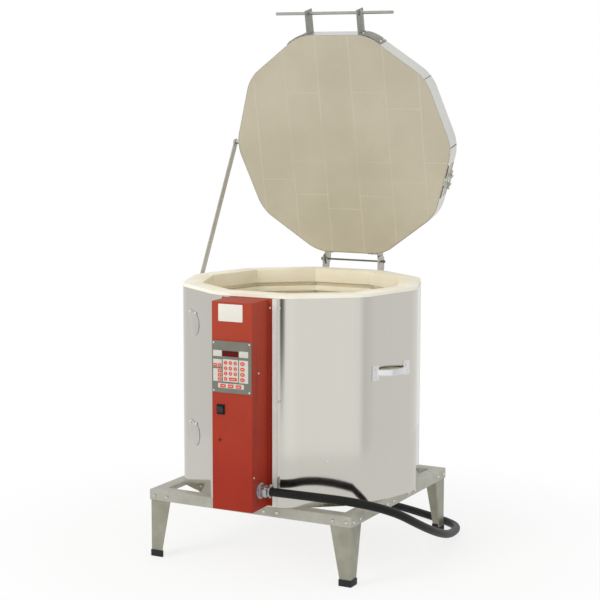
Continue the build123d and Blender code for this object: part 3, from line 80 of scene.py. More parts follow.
# Power cord: a stiff rubber lead an inch thick, in one smooth sweep from its
# connector past the rear right leg, then along the floor behind the stand.
def mixed_finish(name, dark, light, metallic, smooth, dull, scale, bump_depth=0.0002, shine=0.5):
    """Finish whose colour, gloss and surface all vary a little with one fine grain."""
    material = bpy.data.materials.new(name)
    material.use_nodes = True
    tree = material.node_tree
    shader = tree.nodes["Principled BSDF"]
    shader.inputs["Metallic"].default_value = metallic
    shader.inputs["Specular IOR Level"].default_value = shine
    place = tree.nodes.new("ShaderNodeTexCoord")
    grain = tree.nodes.new("ShaderNodeTexNoise")
    grain.inputs["Scale"].default_value = scale
    grain.inputs["Detail"].default_value = 6
    tint = tree.nodes.new("ShaderNodeValToRGB")
    tint.color_ramp.elements[0].position = 0.3
    tint.color_ramp.elements[0].color = (*dark, 1)
    tint.color_ramp.elements[1].position = 0.7
    tint.color_ramp.elements[1].color = (*light, 1)
    gloss = tree.nodes.new("ShaderNodeMapRange")
    gloss.inputs["To Min"].default_value = smooth
    gloss.inputs["To Max"].default_value = dull
    bump = tree.nodes.new("ShaderNodeBump")
    bump.inputs["Strength"].default_value = 0.3
    bump.inputs["Distance"].default_value = bump_depth
    tree.links.new(place.outputs["Object"], grain.inputs["Vector"])
    tree.links.new(grain.outputs["Fac"], tint.inputs["Fac"])
    tree.links.new(grain.outputs["Fac"], gloss.inputs["Value"])
    tree.links.new(grain.outputs["Fac"], bump.inputs["Height"])
    tree.links.new(tint.outputs["Color"], shader.inputs["Base Color"])
    tree.links.new(gloss.outputs["Result"], shader.inputs["Roughness"])
    tree.links.new(bump.outputs["Normal"], shader.inputs["Normal"])
    return material


def soften(node, body, finish, edge, steps=2):
    """Copy of a solid with its sharp edges worn or folded round, in the solid's place."""
    sharp = radians(35)
    bpy.ops.object.select_all(action="DESELECT")
    piece = bpy.data.objects.new(node + "_soft", cad_nodes[node].data.copy())
    scene.collection.objects.link(piece)
    piece.select_set(True)
    bpy.context.view_layer.objects.active = piece
    bpy.ops.object.mode_set(mode="EDIT")
    bpy.ops.mesh.select_all(action="SELECT")
    bpy.ops.mesh.remove_doubles(threshold=0.00001)
    bpy.ops.mesh.dissolve_limited(angle_limit=radians(1))
    bpy.ops.object.mode_set(mode="OBJECT")
    worn = piece.modifiers.new("worn", "BEVEL")
    worn.width = edge
    worn.segments = steps
    worn.limit_method = "ANGLE"
    worn.angle_limit = sharp
    bpy.ops.object.modifier_apply(modifier="worn")
    bpy.ops.object.shade_smooth_by_angle(angle=sharp)
    piece.data.materials.clear()
    piece.data.materials.append(finish)
    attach(piece, body)
    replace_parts(piece, node)
    return piece


cord_points = [
    (0.092, -0.408, 0.267), (0.2158, -0.408, 0.267), (0.3308, -0.3469, 0.249),
    (0.411, -0.2459, 0.205), (0.4487, -0.1255, 0.1371), (0.4555, 0.0098, 0.0814),
    (0.4378, 0.1493, 0.042), (0.4059, 0.304, 0.0183), (0.362, 0.3706, 0.013),
    (0.2434, 0.4383, 0.0129), (0.1229, 0.4958, 0.013), (-0.01, 0.532, 0.0135),
    (-0.125, 0.545, 0.016), (-0.225, 0.55, 0.016),
]
cord_diameter = 0.0254
cord_curve = bpy.data.curves.new("power_cord_line", "CURVE")
cord_curve.dimensions = "3D"
cord_curve.bevel_depth = cord_diameter / 2
cord_curve.bevel_resolution = 8
cord_curve.resolution_u = 16
cord_curve.use_fill_caps = True
spline = cord_curve.splines.new("NURBS")
spline.points.add(len(cord_points) - 1)
for point, place in zip(spline.points, cord_points):
    point.co = (*place, 1)
spline.order_u = 3
spline.use_endpoint_u = True
power_cord = bpy.data.objects.new("power_cord_rubber", cord_curve)
scene.collection.objects.link(power_cord)
rubber = mixed_finish(
    "cord_rubber", (0.006, 0.006, 0.0055), (0.013, 0.0125, 0.012), 0, 0.36, 0.5, 160, shine=0.22,
)
cord_curve.materials.append(rubber)
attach(power_cord, "kiln")
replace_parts(power_cord, "power_cord")
moulded_plug = soften("plug", "kiln", rubber, 0.0005)

# Studio: an even white surround, with dimmer stretches and one dark streak
# that only the metal sees, a soft lamp at the front left and a weak one at
# the right. The streak shows in the jacket, beside the control box.
def grey_ramp(tree, stops):
    """Smooth ramp of greys that has a stop for each place and level."""
    ramp = tree.nodes.new("ShaderNodeValToRGB")
    ramp.color_ramp.interpolation = "EASE"
    elements = ramp.color_ramp.elements
    elements[1].position = stops[-1][0]
    elements[0].position = stops[0][0]
    for position, _ in stops[1:-1]:
        elements.new(position)
    for element, (_, level) in zip(elements, stops):
        element.color = (level, level, level, 1)
    return ramp


world = bpy.data.worlds.new("studio")
scene.world = world
world.use_nodes = True
tree = world.node_tree
sky = tree.nodes["Background"]
direction = tree.nodes.new("ShaderNodeTexCoord")
around = tree.nodes.new("ShaderNodeTexGradient")
around.gradient_type = "RADIAL"
surround = grey_ramp(tree, [
    (0.0, 0.7), (0.18, 0.78), (0.3, 0.92), (0.38, 0.88), (0.44, 0.86), (0.49, 0.66),
    (0.55, 0.7), (0.6, 0.74), (0.75, 0.8), (1.0, 0.7),
])
streak = grey_ramp(tree, [(0.226, 0), (0.242, 1), (0.256, 0.8), (0.276, 0)])
rise = tree.nodes.new("ShaderNodeSeparateXYZ")
streak_foot = tree.nodes.new("ShaderNodeMapRange")
streak_foot.interpolation_type = "SMOOTHSTEP"
streak_foot.inputs["From Min"].default_value = -0.215
streak_foot.inputs["From Max"].default_value = -0.155
streak_foot.inputs["To Min"].default_value = -1
streak_foot.inputs["To Max"].default_value = 0
streak_depth = tree.nodes.new("ShaderNodeMath")
streak_depth.operation = "ADD"
streak_depth.use_clamp = True
streaked = tree.nodes.new("ShaderNodeMix")
streaked.data_type = "RGBA"
streaked.inputs[7].default_value = (0.03, 0.03, 0.03, 1)
tree.links.new(direction.outputs["Generated"], rise.inputs["Vector"])
tree.links.new(rise.outputs["Z"], streak_foot.inputs["Value"])
tree.links.new(around.outputs["Fac"], streak.inputs["Fac"])
tree.links.new(streak.outputs["Color"], streak_depth.inputs[0])
tree.links.new(streak_foot.outputs["Result"], streak_depth.inputs[1])
tree.links.new(streak_depth.outputs[0], streaked.inputs[0])
tree.links.new(surround.outputs["Color"], streaked.inputs[6])
rays = tree.nodes.new("ShaderNodeLightPath")
for_metal = tree.nodes.new("ShaderNodeMix")
for_metal.data_type = "RGBA"
for_metal.inputs[6].default_value = (0.78, 0.78, 0.77, 1)
for_camera = tree.nodes.new("ShaderNodeMix")
for_camera.data_type = "RGBA"
for_camera.inputs[7].default_value = (1, 1, 1, 1)
clear_view = tree.nodes.new("ShaderNodeMath")
clear_view.operation = "MAXIMUM"
tree.links.new(direction.outputs["Generated"], around.inputs["Vector"])
tree.links.new(around.outputs["Fac"], surround.inputs["Fac"])
tree.links.new(streaked.outputs[2], for_metal.inputs[7])
tree.links.new(rays.outputs["Is Glossy Ray"], for_metal.inputs[0])
tree.links.new(for_metal.outputs[2], for_camera.inputs[6])
tree.links.new(rays.outputs["Is Camera Ray"], clear_view.inputs[0])
tree.links.new(rays.outputs["Is Transmission Ray"], clear_view.inputs[1])
tree.links.new(clear_view.outputs[0], for_camera.inputs[0])
tree.links.new(for_camera.outputs[2], sky.inputs["Color"])
kiln_middle = Vector((0, 0, 0.7))
lamps = [((-2.4, -4.4, 3.4), 2.4, 122), ((4.2, -1.6, 2.6), 2.2, 20)]
for spot, size, power in lamps:
    bpy.ops.object.light_add(type="AREA", location=spot)
    lamp = bpy.context.object
    lamp.data.size = size
    lamp.data.energy = power
    lamp.rotation_euler = (kiln_middle - lamp.location).to_track_quat("-Z", "Y").to_euler()
    lamp.visible_glossy = False

# Floor: a pale round sheet that holds the shadow near the stand and fades to
# the white of the surround further out.
bpy.ops.mesh.primitive_circle_add(vertices=96, radius=1.9, fill_type="NGON")
floor = bpy.context.object
floor.name = "studio_floor"
pale = bpy.data.materials.new("studio_floor")
pale.use_nodes = True
tree = pale.node_tree
shader = tree.nodes["Principled BSDF"]
shader.inputs["Base Color"].default_value = (0.88, 0.88, 0.87, 1)
shader.inputs["Roughness"].default_value = 0.9
shader.inputs["Specular IOR Level"].default_value = 0
place = tree.nodes.new("ShaderNodeTexCoord")
reach = tree.nodes.new("ShaderNodeVectorMath")
reach.operation = "LENGTH"
fade = tree.nodes.new("ShaderNodeMapRange")
fade.interpolation_type = "SMOOTHSTEP"
fade.inputs["From Min"].default_value = 0.5
fade.inputs["From Max"].default_value = 1.4
fade.inputs["To Min"].default_value = 0.78
fade.inputs["To Max"].default_value = 1
rays = tree.nodes.new("ShaderNodeLightPath")
seen = tree.nodes.new("ShaderNodeMath")
seen.operation = "MAXIMUM"
share = tree.nodes.new("ShaderNodeMath")
share.operation = "MULTIPLY"
level = tree.nodes.new("ShaderNodeMapRange")
level.inputs["To Min"].default_value = 0.74
level.inputs["To Max"].default_value = 1
white = tree.nodes.new("ShaderNodeEmission")
mix = tree.nodes.new("ShaderNodeMixShader")
tree.links.new(place.outputs["Object"], reach.inputs[0])
tree.links.new(reach.outputs["Value"], fade.inputs["Value"])
tree.links.new(rays.outputs["Is Camera Ray"], seen.inputs[0])
tree.links.new(rays.outputs["Is Glossy Ray"], seen.inputs[1])
tree.links.new(seen.outputs[0], share.inputs[0])
tree.links.new(fade.outputs["Result"], share.inputs[1])
tree.links.new(rays.outputs["Is Camera Ray"], level.inputs["Value"])
tree.links.new(level.outputs["Result"], white.inputs["Strength"])
tree.links.new(share.outputs[0], mix.inputs["Fac"])
tree.links.new(shader.outputs[0], mix.inputs[1])
tree.links.new(white.outputs[0], mix.inputs[2])
tree.links.new(mix.outputs[0], tree.nodes["Material Output"].inputs["Surface"])
floor.data.materials.append(pale)
floor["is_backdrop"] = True

# Stand: four rails and four tapered legs folded from bare steel sheet, with
# flat braces across the corners under the body.
stand_steel = mixed_finish("stand_steel", (0.45, 0.44, 0.375), (0.56, 0.55, 0.48), 0.6, 0.32, 0.44, 22)
for node in ("front_rail", "right_rail", "rear_rail", "left_rail"):
    soften(node, "kiln", stand_steel, 0.0016, 3)
# The legs get the stand's bare steel made darker: painted shade.
leg_steel_painted_shade = mixed_finish("leg_steel_painted_shade", (0.33, 0.325, 0.255), (0.42, 0.415, 0.335), 0.6, 0.32, 0.44, 22)
for node in ("leg_front_right", "leg_rear_right", "leg_rear_left", "leg_front_left"):
    soften(node, "kiln", leg_steel_painted_shade, 0.0014, 3)
soften("corner_braces", "kiln", stand_steel, 0.0006)

# Feet: moulded black rubber caps pushed over the ends of the legs, and the
# zinc-plated bolts and nuts that hold the corners together.
foot_rubber = mixed_finish("foot_rubber", (0.006, 0.006, 0.006), (0.016, 0.016, 0.016), 0, 0.5, 0.7, 220)
soften("foot_caps", "kiln", foot_rubber, 0.0018, 3)
bolt_zinc = mixed_finish("bolt_zinc", (0.66, 0.66, 0.63), (0.8, 0.8, 0.77), 1, 0.16, 0.28, 180)
soften("stand_bolts", "kiln", bolt_zinc, 0.0004)

# Bricks: soft insulating firebrick, five rows of ten mitred bricks on a floor
# slab, their edges rubbed round and their cut faces full of fine pores. The
# faces inside the chamber have turned a little warmer in the fire.
def porous_brick(name, dark, light, cloud_scale):
    """Pale brick with a slow change of colour, fine open pores and a rough surface."""
    material = bpy.data.materials.new(name)
    material.use_nodes = True
    tree = material.node_tree
    shader = tree.nodes["Principled BSDF"]
    shader.inputs["Roughness"].default_value = 0.95
    shader.inputs["Specular IOR Level"].default_value = 0.08
    place = tree.nodes.new("ShaderNodeTexCoord")
    cloud = tree.nodes.new("ShaderNodeTexNoise")
    cloud.inputs["Scale"].default_value = cloud_scale
    cloud.inputs["Detail"].default_value = 8
    tint = tree.nodes.new("ShaderNodeValToRGB")
    tint.color_ramp.elements[0].position = 0.35
    tint.color_ramp.elements[0].color = (*dark, 1)
    tint.color_ramp.elements[1].position = 0.65
    tint.color_ramp.elements[1].color = (*light, 1)
    pores = tree.nodes.new("ShaderNodeTexVoronoi")
    pores.inputs["Scale"].default_value = 380
    fleck = tree.nodes.new("ShaderNodeMapRange")
    fleck.inputs["From Min"].default_value = 0.05
    fleck.inputs["From Max"].default_value = 0.28
    fleck.inputs["To Min"].default_value = 0.86
    fleck.inputs["To Max"].default_value = 1
    shade = tree.nodes.new("ShaderNodeMix")
    shade.data_type = "RGBA"
    shade.blend_type = "MULTIPLY"
    shade.inputs[0].default_value = 1
    bump = tree.nodes.new("ShaderNodeBump")
    bump.inputs["Strength"].default_value = 0.3
    bump.inputs["Distance"].default_value = 0.0007
    tree.links.new(place.outputs["Object"], cloud.inputs["Vector"])
    tree.links.new(place.outputs["Object"], pores.inputs["Vector"])
    tree.links.new(cloud.outputs["Fac"], tint.inputs["Fac"])
    tree.links.new(pores.outputs["Distance"], fleck.inputs["Value"])
    tree.links.new(tint.outputs["Color"], shade.inputs[6])
    tree.links.new(fleck.outputs["Result"], shade.inputs[7])
    tree.links.new(shade.outputs[2], shader.inputs["Base Color"])
    tree.links.new(pores.outputs["Distance"], bump.inputs["Height"])
    tree.links.new(bump.outputs["Normal"], shader.inputs["Normal"])
    return material


firebrick = porous_brick("firebrick", (0.87, 0.825, 0.70), (0.93, 0.895, 0.79), 9)
tree = firebrick.node_tree
shader = tree.nodes["Principled BSDF"]
raw_colour = shader.inputs["Base Color"].links[0].from_socket
place = tree.nodes.new("ShaderNodeTexCoord")
level_plan = tree.nodes.new("ShaderNodeVectorMath")
level_plan.operation = "MULTIPLY"
level_plan.inputs[1].default_value = (1, 1, 0)
from_middle = tree.nodes.new("ShaderNodeVectorMath")
from_middle.operation = "LENGTH"
inside = tree.nodes.new("ShaderNodeMapRange")
inside.inputs["From Min"].default_value = 0.325
inside.inputs["From Max"].default_value = 0.312
fired_tint = tree.nodes.new("ShaderNodeMix")
fired_tint.data_type = "RGBA"
fired_tint.blend_type = "MULTIPLY"
fired_tint.inputs[7].default_value = (1.02, 0.985, 0.90, 1)
tree.links.new(place.outputs["Object"], level_plan.inputs[0])
tree.links.new(level_plan.outputs[0], from_middle.inputs[0])
tree.links.new(from_middle.outputs["Value"], inside.inputs["Value"])
tree.links.new(inside.outputs["Result"], fired_tint.inputs[0])
tree.links.new(raw_colour, fired_tint.inputs[6])
tree.links.new(fired_tint.outputs[2], shader.inputs["Base Color"])
for node in ["floor_slab"] + [f"brick_row_{number}" for number in range(1, 6)]:
    soften(node, "kiln", firebrick, 0.0022, 3)

# Elements: resistance wire wound into a long coil, one coil laid in each of
# the ten grooves, its straight ends led out through the wall to the box.
heating_wire = mixed_finish("heating_wire", (0.42, 0.33, 0.2), (0.56, 0.46, 0.3), 0.2, 0.5, 0.65, 240)
groove_apothem = 0.3043
groove_corner = groove_apothem * tan(pi / 10)
lead_x = 0.012
coil_radius = 0.002
wire_radius = 0.0005
coil_half = coil_radius + wire_radius
coil_pitch = 0.0065
steps_per_turn = 8
for number in range(1, 6):
    low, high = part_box(f"element_{number}")
    wire = bpy.data.curves.new(f"element_{number}_line", "CURVE")
    wire.dimensions = "3D"
    wire.bevel_depth = wire_radius
    wire.bevel_resolution = 0
    for height in (low[2] + coil_half, high[2] - coil_half):
        coil = [(lead_x, low[1], height), (lead_x, -groove_apothem, height)]
        angle_step = 0
        # Ten sides: the coil starts and ends at its leads, in the middle of the first.
        for side in range(11):
            angle = radians(-90 + 36 * side)
            start = lead_x if side == 0 else -groove_corner
            stop = -lead_x if side == 10 else groove_corner
            count = int(abs(stop - start) / coil_pitch * steps_per_turn)
            for step in range(count):
                along = start + (stop - start) * step / count
                turn_angle = 2 * pi * angle_step / steps_per_turn
                angle_step += 1
                out = groove_apothem + coil_radius * cos(turn_angle)
                coil.append((
                    out * cos(angle) - along * sin(angle), out * sin(angle) + along * cos(angle),
                    height + coil_radius * sin(turn_angle),
                ))
        coil += [(-lead_x, -groove_apothem, height), (-lead_x, low[1], height)]
        line = wire.splines.new("POLY")
        line.points.add(len(coil) - 1)
        for point, place in zip(line.points, coil):
            point.co = (*place, 1)
    bpy.ops.object.select_all(action="DESELECT")
    element = bpy.data.objects.new(f"element_{number}_coils", wire)
    scene.collection.objects.link(element)
    element.select_set(True)
    bpy.context.view_layer.objects.active = element
    bpy.ops.object.convert(target="MESH")
    element = bpy.context.object
    element.data.materials.append(heating_wire)
    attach(element, "kiln")
    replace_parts(element, f"element_{number}")

# Jacket: bright stainless sheet drawn round the bricks, with rounded corners,
# rolled upright, lapped and screwed to the right of the control box.
stainless = bpy.data.materials.new("jacket_steel")
stainless.use_nodes = True
tree = stainless.node_tree
shader = tree.nodes["Principled BSDF"]
shader.inputs["Metallic"].default_value = 1
place = tree.nodes.new("ShaderNodeTexCoord")
upright = tree.nodes.new("ShaderNodeMapping")
upright.inputs["Scale"].default_value = (40, 40, 0.8)
rolled = tree.nodes.new("ShaderNodeTexNoise")
rolled.inputs["Scale"].default_value = 3
rolled.inputs["Detail"].default_value = 6
gloss = tree.nodes.new("ShaderNodeMapRange")
gloss.inputs["To Min"].default_value = 0.09
gloss.inputs["To Max"].default_value = 0.11
tint = tree.nodes.new("ShaderNodeValToRGB")
tint.color_ramp.elements[0].position = 0.3
tint.color_ramp.elements[0].color = (0.726, 0.706, 0.641, 1)
tint.color_ramp.elements[1].position = 0.7
tint.color_ramp.elements[1].color = (0.734, 0.714, 0.649, 1)
swell = tree.nodes.new("ShaderNodeTexNoise")
swell.inputs["Scale"].default_value = 4
swell.inputs["Detail"].default_value = 0.5
buckle = tree.nodes.new("ShaderNodeBump")
buckle.inputs["Strength"].default_value = 0.012
buckle.inputs["Distance"].default_value = 0.004
tree.links.new(place.outputs["Object"], upright.inputs["Vector"])
tree.links.new(upright.outputs["Vector"], rolled.inputs["Vector"])
tree.links.new(rolled.outputs["Fac"], gloss.inputs["Value"])
tree.links.new(gloss.outputs["Result"], shader.inputs["Roughness"])
tree.links.new(rolled.outputs["Fac"], tint.inputs["Fac"])
tree.links.new(tint.outputs["Color"], shader.inputs["Base Color"])
tree.links.new(place.outputs["Object"], swell.inputs["Vector"])
tree.links.new(swell.outputs["Fac"], buckle.inputs["Height"])
tree.links.new(buckle.outputs["Normal"], shader.inputs["Normal"])


def ring_sheet(name, apothem, corner_radius, bottom, top, closed_ends=False):
    """Ten-sided ring with rounded corners, standing on its edge, open unless asked."""
    bpy.ops.object.select_all(action="DESELECT")
    bpy.ops.mesh.primitive_circle_add(
        vertices=10, radius=apothem / cos(pi / 10), fill_type="NGON",
        location=(0, 0, bottom), rotation=(0, 0, pi / 10),
    )
    sheet = bpy.context.object
    sheet.name = name
    bpy.ops.object.mode_set(mode="EDIT")
    bpy.ops.mesh.select_all(action="SELECT")
    bpy.ops.mesh.bevel(affect="VERTICES", offset=corner_radius * tan(pi / 10), segments=12)
    bpy.ops.mesh.select_all(action="SELECT")
    bpy.ops.mesh.extrude_region_move(TRANSFORM_OT_translate={"value": (0, 0, top - bottom)})
    bpy.ops.mesh.select_all(action="SELECT")
    bpy.ops.mesh.normals_make_consistent(inside=False)
    bpy.ops.mesh.select_mode(type="FACE")
    bpy.ops.mesh.select_all(action="DESELECT")
    bpy.ops.object.mode_set(mode="OBJECT")
    for face in sheet.data.polygons:
        face.select = abs(face.normal.z) > 0.5 and not closed_ends
    bpy.ops.object.mode_set(mode="EDIT")
    bpy.ops.mesh.delete(type="ONLY_FACE")
    bpy.ops.object.mode_set(mode="OBJECT")
    bpy.ops.object.transform_apply(location=True, rotation=True, scale=True)
    return sheet


jacket_low, jacket_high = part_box("jacket")
jacket_apothem = jacket_high[1]
jacket_corner = 0.115
jacket_thick = 0.0008


def walled(sheet, finish):
    """Sheet given the jacket's thickness on its inner side, smooth round its corners."""
    wall = sheet.modifiers.new("wall", "SOLIDIFY")
    wall.thickness = jacket_thick
    wall.offset = -1
    bpy.ops.object.modifier_apply(modifier="wall")
    bpy.ops.object.shade_smooth_by_angle(angle=radians(30))
    sheet.data.materials.append(finish)


jacket = ring_sheet("jacket_sheet", jacket_apothem, jacket_corner, jacket_low[2], jacket_high[2])
walled(jacket, stainless)
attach(jacket, "kiln")
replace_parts(jacket, "jacket")
lap_start = (0.088, 0, 0)
lap_end = (0.15, -0.32, 0)
lap_end_side = (0.809, 0.588, 0)
lap_short = 0.0005
lap = ring_sheet(
    "jacket_lap", jacket_apothem + jacket_thick, jacket_corner + jacket_thick,
    jacket_low[2] + lap_short, jacket_high[2] - lap_short,
)
bpy.ops.object.mode_set(mode="EDIT")
bpy.ops.mesh.select_all(action="SELECT")
bpy.ops.mesh.bisect(plane_co=lap_start, plane_no=(1, 0, 0), clear_inner=True)
bpy.ops.mesh.select_all(action="SELECT")
bpy.ops.mesh.bisect(plane_co=lap_end, plane_no=lap_end_side, clear_outer=True)
bpy.ops.object.mode_set(mode="OBJECT")
walled(lap, stainless)
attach(lap, "kiln")
screw_steel = mixed_finish("screw_steel", (0.80, 0.80, 0.77), (0.88, 0.88, 0.85), 0.6, 0.26, 0.36, 180)
heads = soften("jacket_screws", "kiln", screw_steel, 0.0003)

# Seam: a folded strip of duller steel closes the jacket beside the control
# box, its free edge lifted towards the box and its screws' heads on top.
hem_steel = mixed_finish("hem_steel", (0.78, 0.77, 0.72), (0.84, 0.83, 0.78), 0.5, 0.4, 0.5, 30, 0.00002)
hem_near = 0.0735
hem_far = 0.0865
hem_back = -jacket_apothem - 0.0002
hem_thick = 0.0006
hem_lift = 0.005
hem_short = 0.001
head_rise = 0.0014
bpy.ops.mesh.primitive_cube_add(size=1)
hem = bpy.context.object
hem.name = "jacket_hem"
for corner in hem.data.vertices:
    depth = hem_lift if corner.co.x < 0 else hem_thick
    corner.co = (
        hem_near if corner.co.x < 0 else hem_far,
        hem_back - (depth if corner.co.y < 0 else 0),
        jacket_low[2] + hem_short if corner.co.z < 0 else jacket_high[2] - hem_short,
    )
fold = hem.modifiers.new("fold", "BEVEL")
fold.width = 0.0004
fold.segments = 2
bpy.ops.object.modifier_apply(modifier="fold")
hem.data.materials.append(hem_steel)
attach(hem, "kiln")
for head in heads.data.vertices:
    if 0.07 < head.co.x < 0.1 and head.co.y < -0.3:
        head.co.y -= head_rise

# Peepholes: each has a round stainless cover that hangs on one screw and
# rests against another.
cover_steel = mixed_finish("cover_steel", (0.68, 0.67, 0.62), (0.74, 0.73, 0.68), 1, 0.14, 0.22, 18, 0.0001)
for node in ("peephole_cover_upper", "peephole_cover_lower"):
    soften(node, node, cover_steel, 0.0004)
soften("peephole_screws", "kiln", screw_steel, 0.0003)

# Side handles: cast grips with a bow and square end plates, chromed, screwed
# to the jacket on its right and left sides.
chrome = mixed_finish("chrome", (0.82, 0.82, 0.82), (0.88, 0.88, 0.88), 1, 0.04, 0.08, 30, 0.00005)
for node in ("side_handle_right", "side_handle_left"):
    soften(node, "kiln", chrome, 0.0012, 3)

# Hinge: two folded brackets on the back of the body, a rod with a head and a
# nut, and the two ears of the lid that turn on it.
zinc_sheet = mixed_finish("bracket_steel", (0.49, 0.47, 0.41), (0.6, 0.58, 0.51), 0.8, 0.3, 0.42, 60)
for node in ("hinge_bracket_left", "hinge_bracket_right"):
    soften(node, "kiln", zinc_sheet, 0.0006)
rod_steel = mixed_finish("rod_steel", (0.16, 0.16, 0.12), (0.24, 0.24, 0.18), 0.8, 0.3, 0.42, 90)
soften("hinge_rod", "kiln", rod_steel, 0.0004)
for node in ("lid_ear_left", "lid_ear_right"):
    soften(node, "lid", zinc_sheet, 0.0006)

# Prop: a flat steel arm that hangs on a bolt at the lid's side and slides
# through a loop on the body.
soften("prop_arm", "prop_arm", zinc_sheet, 0.0008)
soften("prop_bolt", "lid", bolt_zinc, 0.0004)
soften("prop_keeper", "kiln", zinc_sheet, 0.0005)

# Lid: strips of firebrick cemented side by side, the faces coated grey beige.
# Joints show as faint lines: six along the strips and staggered ones across.
lid_hinge = next(joint for joint in frame["joints"] if joint["name"] == "lid_hinge")
lid_turn = radians(lid_hinge["range_deg"][1])
hinge_at = lid_hinge["pos_m"]
coating = porous_brick("lid_brick", (0.475, 0.432, 0.330), (0.52, 0.476, 0.368), 6)
tree = coating.node_tree
shader = tree.nodes["Principled BSDF"]
coat_colour = shader.inputs["Base Color"].links[0].from_socket
# The joints are laid out on the closed lid, so each place is turned back there.
place = tree.nodes.new("ShaderNodeTexCoord")
from_hinge = tree.nodes.new("ShaderNodeVectorMath")
from_hinge.operation = "SUBTRACT"
from_hinge.inputs[1].default_value = hinge_at
closed = tree.nodes.new("ShaderNodeMapping")
closed.inputs["Rotation"].default_value = (lid_turn, 0, 0)
closed.inputs["Location"].default_value = hinge_at
flat = tree.nodes.new("ShaderNodeSeparateXYZ")
tree.links.new(place.outputs["Object"], from_hinge.inputs[0])
# Hand-cut edges: the joints waver by a few millimetres.
waver = tree.nodes.new("ShaderNodeTexNoise")
waver.inputs["Scale"].default_value = 28
waver.inputs["Detail"].default_value = 3
wavy = tree.nodes.new("ShaderNodeVectorMath")
wavy.operation = "MULTIPLY_ADD"
wavy.inputs[1].default_value = (0.008, 0.008, 0)
centred = tree.nodes.new("ShaderNodeVectorMath")
centred.operation = "SUBTRACT"
centred.inputs[1].default_value = (0.004, 0.004, 0)
tree.links.new(from_hinge.outputs[0], closed.inputs["Vector"])
tree.links.new(place.outputs["Object"], waver.inputs["Vector"])
tree.links.new(waver.outputs["Color"], wavy.inputs[0])
tree.links.new(closed.outputs["Vector"], wavy.inputs[2])
tree.links.new(wavy.outputs[0], centred.inputs[0])
tree.links.new(centred.outputs[0], flat.inputs["Vector"])
strip_width = 0.1143
first_joint = -0.2905
joint_half = 0.0022
cross_joint_half = 0.0019
cross_joints = [
    (1, 0.116), (2, -0.174), (2, 0.052), (2, 0.164), (3, 0.208),
    (4, -0.176), (4, 0.05), (4, 0.1635), (5, -0.124), (5, 0.114), (6, 0.048),
]


def near(distance, place, reach):
    """1 where a distance comes within reach of a place, and 0 elsewhere."""
    compare = tree.nodes.new("ShaderNodeMath")
    compare.operation = "COMPARE"
    compare.inputs[1].default_value = place
    compare.inputs[2].default_value = reach
    tree.links.new(distance, compare.inputs[0])
    return compare.outputs[0]


lines = [near(flat.outputs["X"], first_joint + number * strip_width, joint_half) for number in range(6)]
for strip, height in cross_joints:
    strip_middle = first_joint + (strip - 0.5) * strip_width
    both = tree.nodes.new("ShaderNodeMath")
    both.operation = "MULTIPLY"
    tree.links.new(near(flat.outputs["X"], strip_middle, strip_width / 2), both.inputs[0])
    tree.links.new(near(flat.outputs["Y"], height, cross_joint_half), both.inputs[1])
    lines.append(both.outputs[0])
# All the lines in one mask, which shows more where the coat is thin.
while len(lines) > 1:
    either = tree.nodes.new("ShaderNodeMath")
    either.operation = "MAXIMUM"
    tree.links.new(lines.pop(0), either.inputs[0])
    tree.links.new(lines.pop(0), either.inputs[1])
    lines.append(either.outputs[0])
faint = tree.nodes.new("ShaderNodeMath")
faint.operation = "MULTIPLY"
thick_coat = tree.nodes.new("ShaderNodeTexNoise")
thick_coat.inputs["Scale"].default_value = 5
thick_coat.inputs["Detail"].default_value = 2
shows = tree.nodes.new("ShaderNodeMapRange")
shows.inputs["From Min"].default_value = 0.35
shows.inputs["From Max"].default_value = 0.6
shows.inputs["To Min"].default_value = 0.12
shows.inputs["To Max"].default_value = 0.42
joints = tree.nodes.new("ShaderNodeMix")
joints.data_type = "RGBA"
joints.inputs[7].default_value = (0.60, 0.56, 0.46, 1)
# Painted light: the coat colour is made lighter towards the hinge, the lower edge of the open lid, where the
# body shades it.
painted_light_toward_hinge = tree.nodes.new("ShaderNodeMapRange")
painted_light_toward_hinge.inputs["From Min"].default_value = -0.34
painted_light_toward_hinge.inputs["From Max"].default_value = 0.36
painted_light_toward_hinge.inputs["To Min"].default_value = 0.95
painted_light_toward_hinge.inputs["To Max"].default_value = 1.14
coat_with_painted_light = tree.nodes.new("ShaderNodeVectorMath")
coat_with_painted_light.operation = "SCALE"
tree.links.new(place.outputs["Object"], thick_coat.inputs["Vector"])
tree.links.new(thick_coat.outputs["Fac"], shows.inputs["Value"])
tree.links.new(lines[0], faint.inputs[0])
tree.links.new(shows.outputs["Result"], faint.inputs[1])
tree.links.new(faint.outputs[0], joints.inputs[0])
tree.links.new(coat_colour, joints.inputs[6])
tree.links.new(flat.outputs["Y"], painted_light_toward_hinge.inputs["Value"])
tree.links.new(joints.outputs[2], coat_with_painted_light.inputs[0])
tree.links.new(painted_light_toward_hinge.outputs["Result"], coat_with_painted_light.inputs["Scale"])
tree.links.new(coat_with_painted_light.outputs[0], shader.inputs["Base Color"])
to_open = (
    Matrix.Translation(hinge_at)
    @ Matrix.Rotation(-lid_turn, 4, "X")
    @ Matrix.Translation([-distance for distance in hinge_at])
)
lid_bottom = 0.8298
lid_top = lid_bottom + 0.06
band_fit = 0.001
slab = ring_sheet(
    "lid_bricks", jacket_apothem - band_fit, jacket_corner - band_fit, lid_bottom, lid_top, closed_ends=True,
)
worn = slab.modifiers.new("worn", "BEVEL")
worn.width = 0.003
worn.segments = 3
worn.limit_method = "ANGLE"
worn.angle_limit = radians(40)
bpy.ops.object.modifier_apply(modifier="worn")
bpy.ops.object.shade_smooth_by_angle(angle=radians(35))
slab.data.transform(to_open)
slab.data.materials.append(coating)
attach(slab, "lid")
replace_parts(slab, "lid_slab")

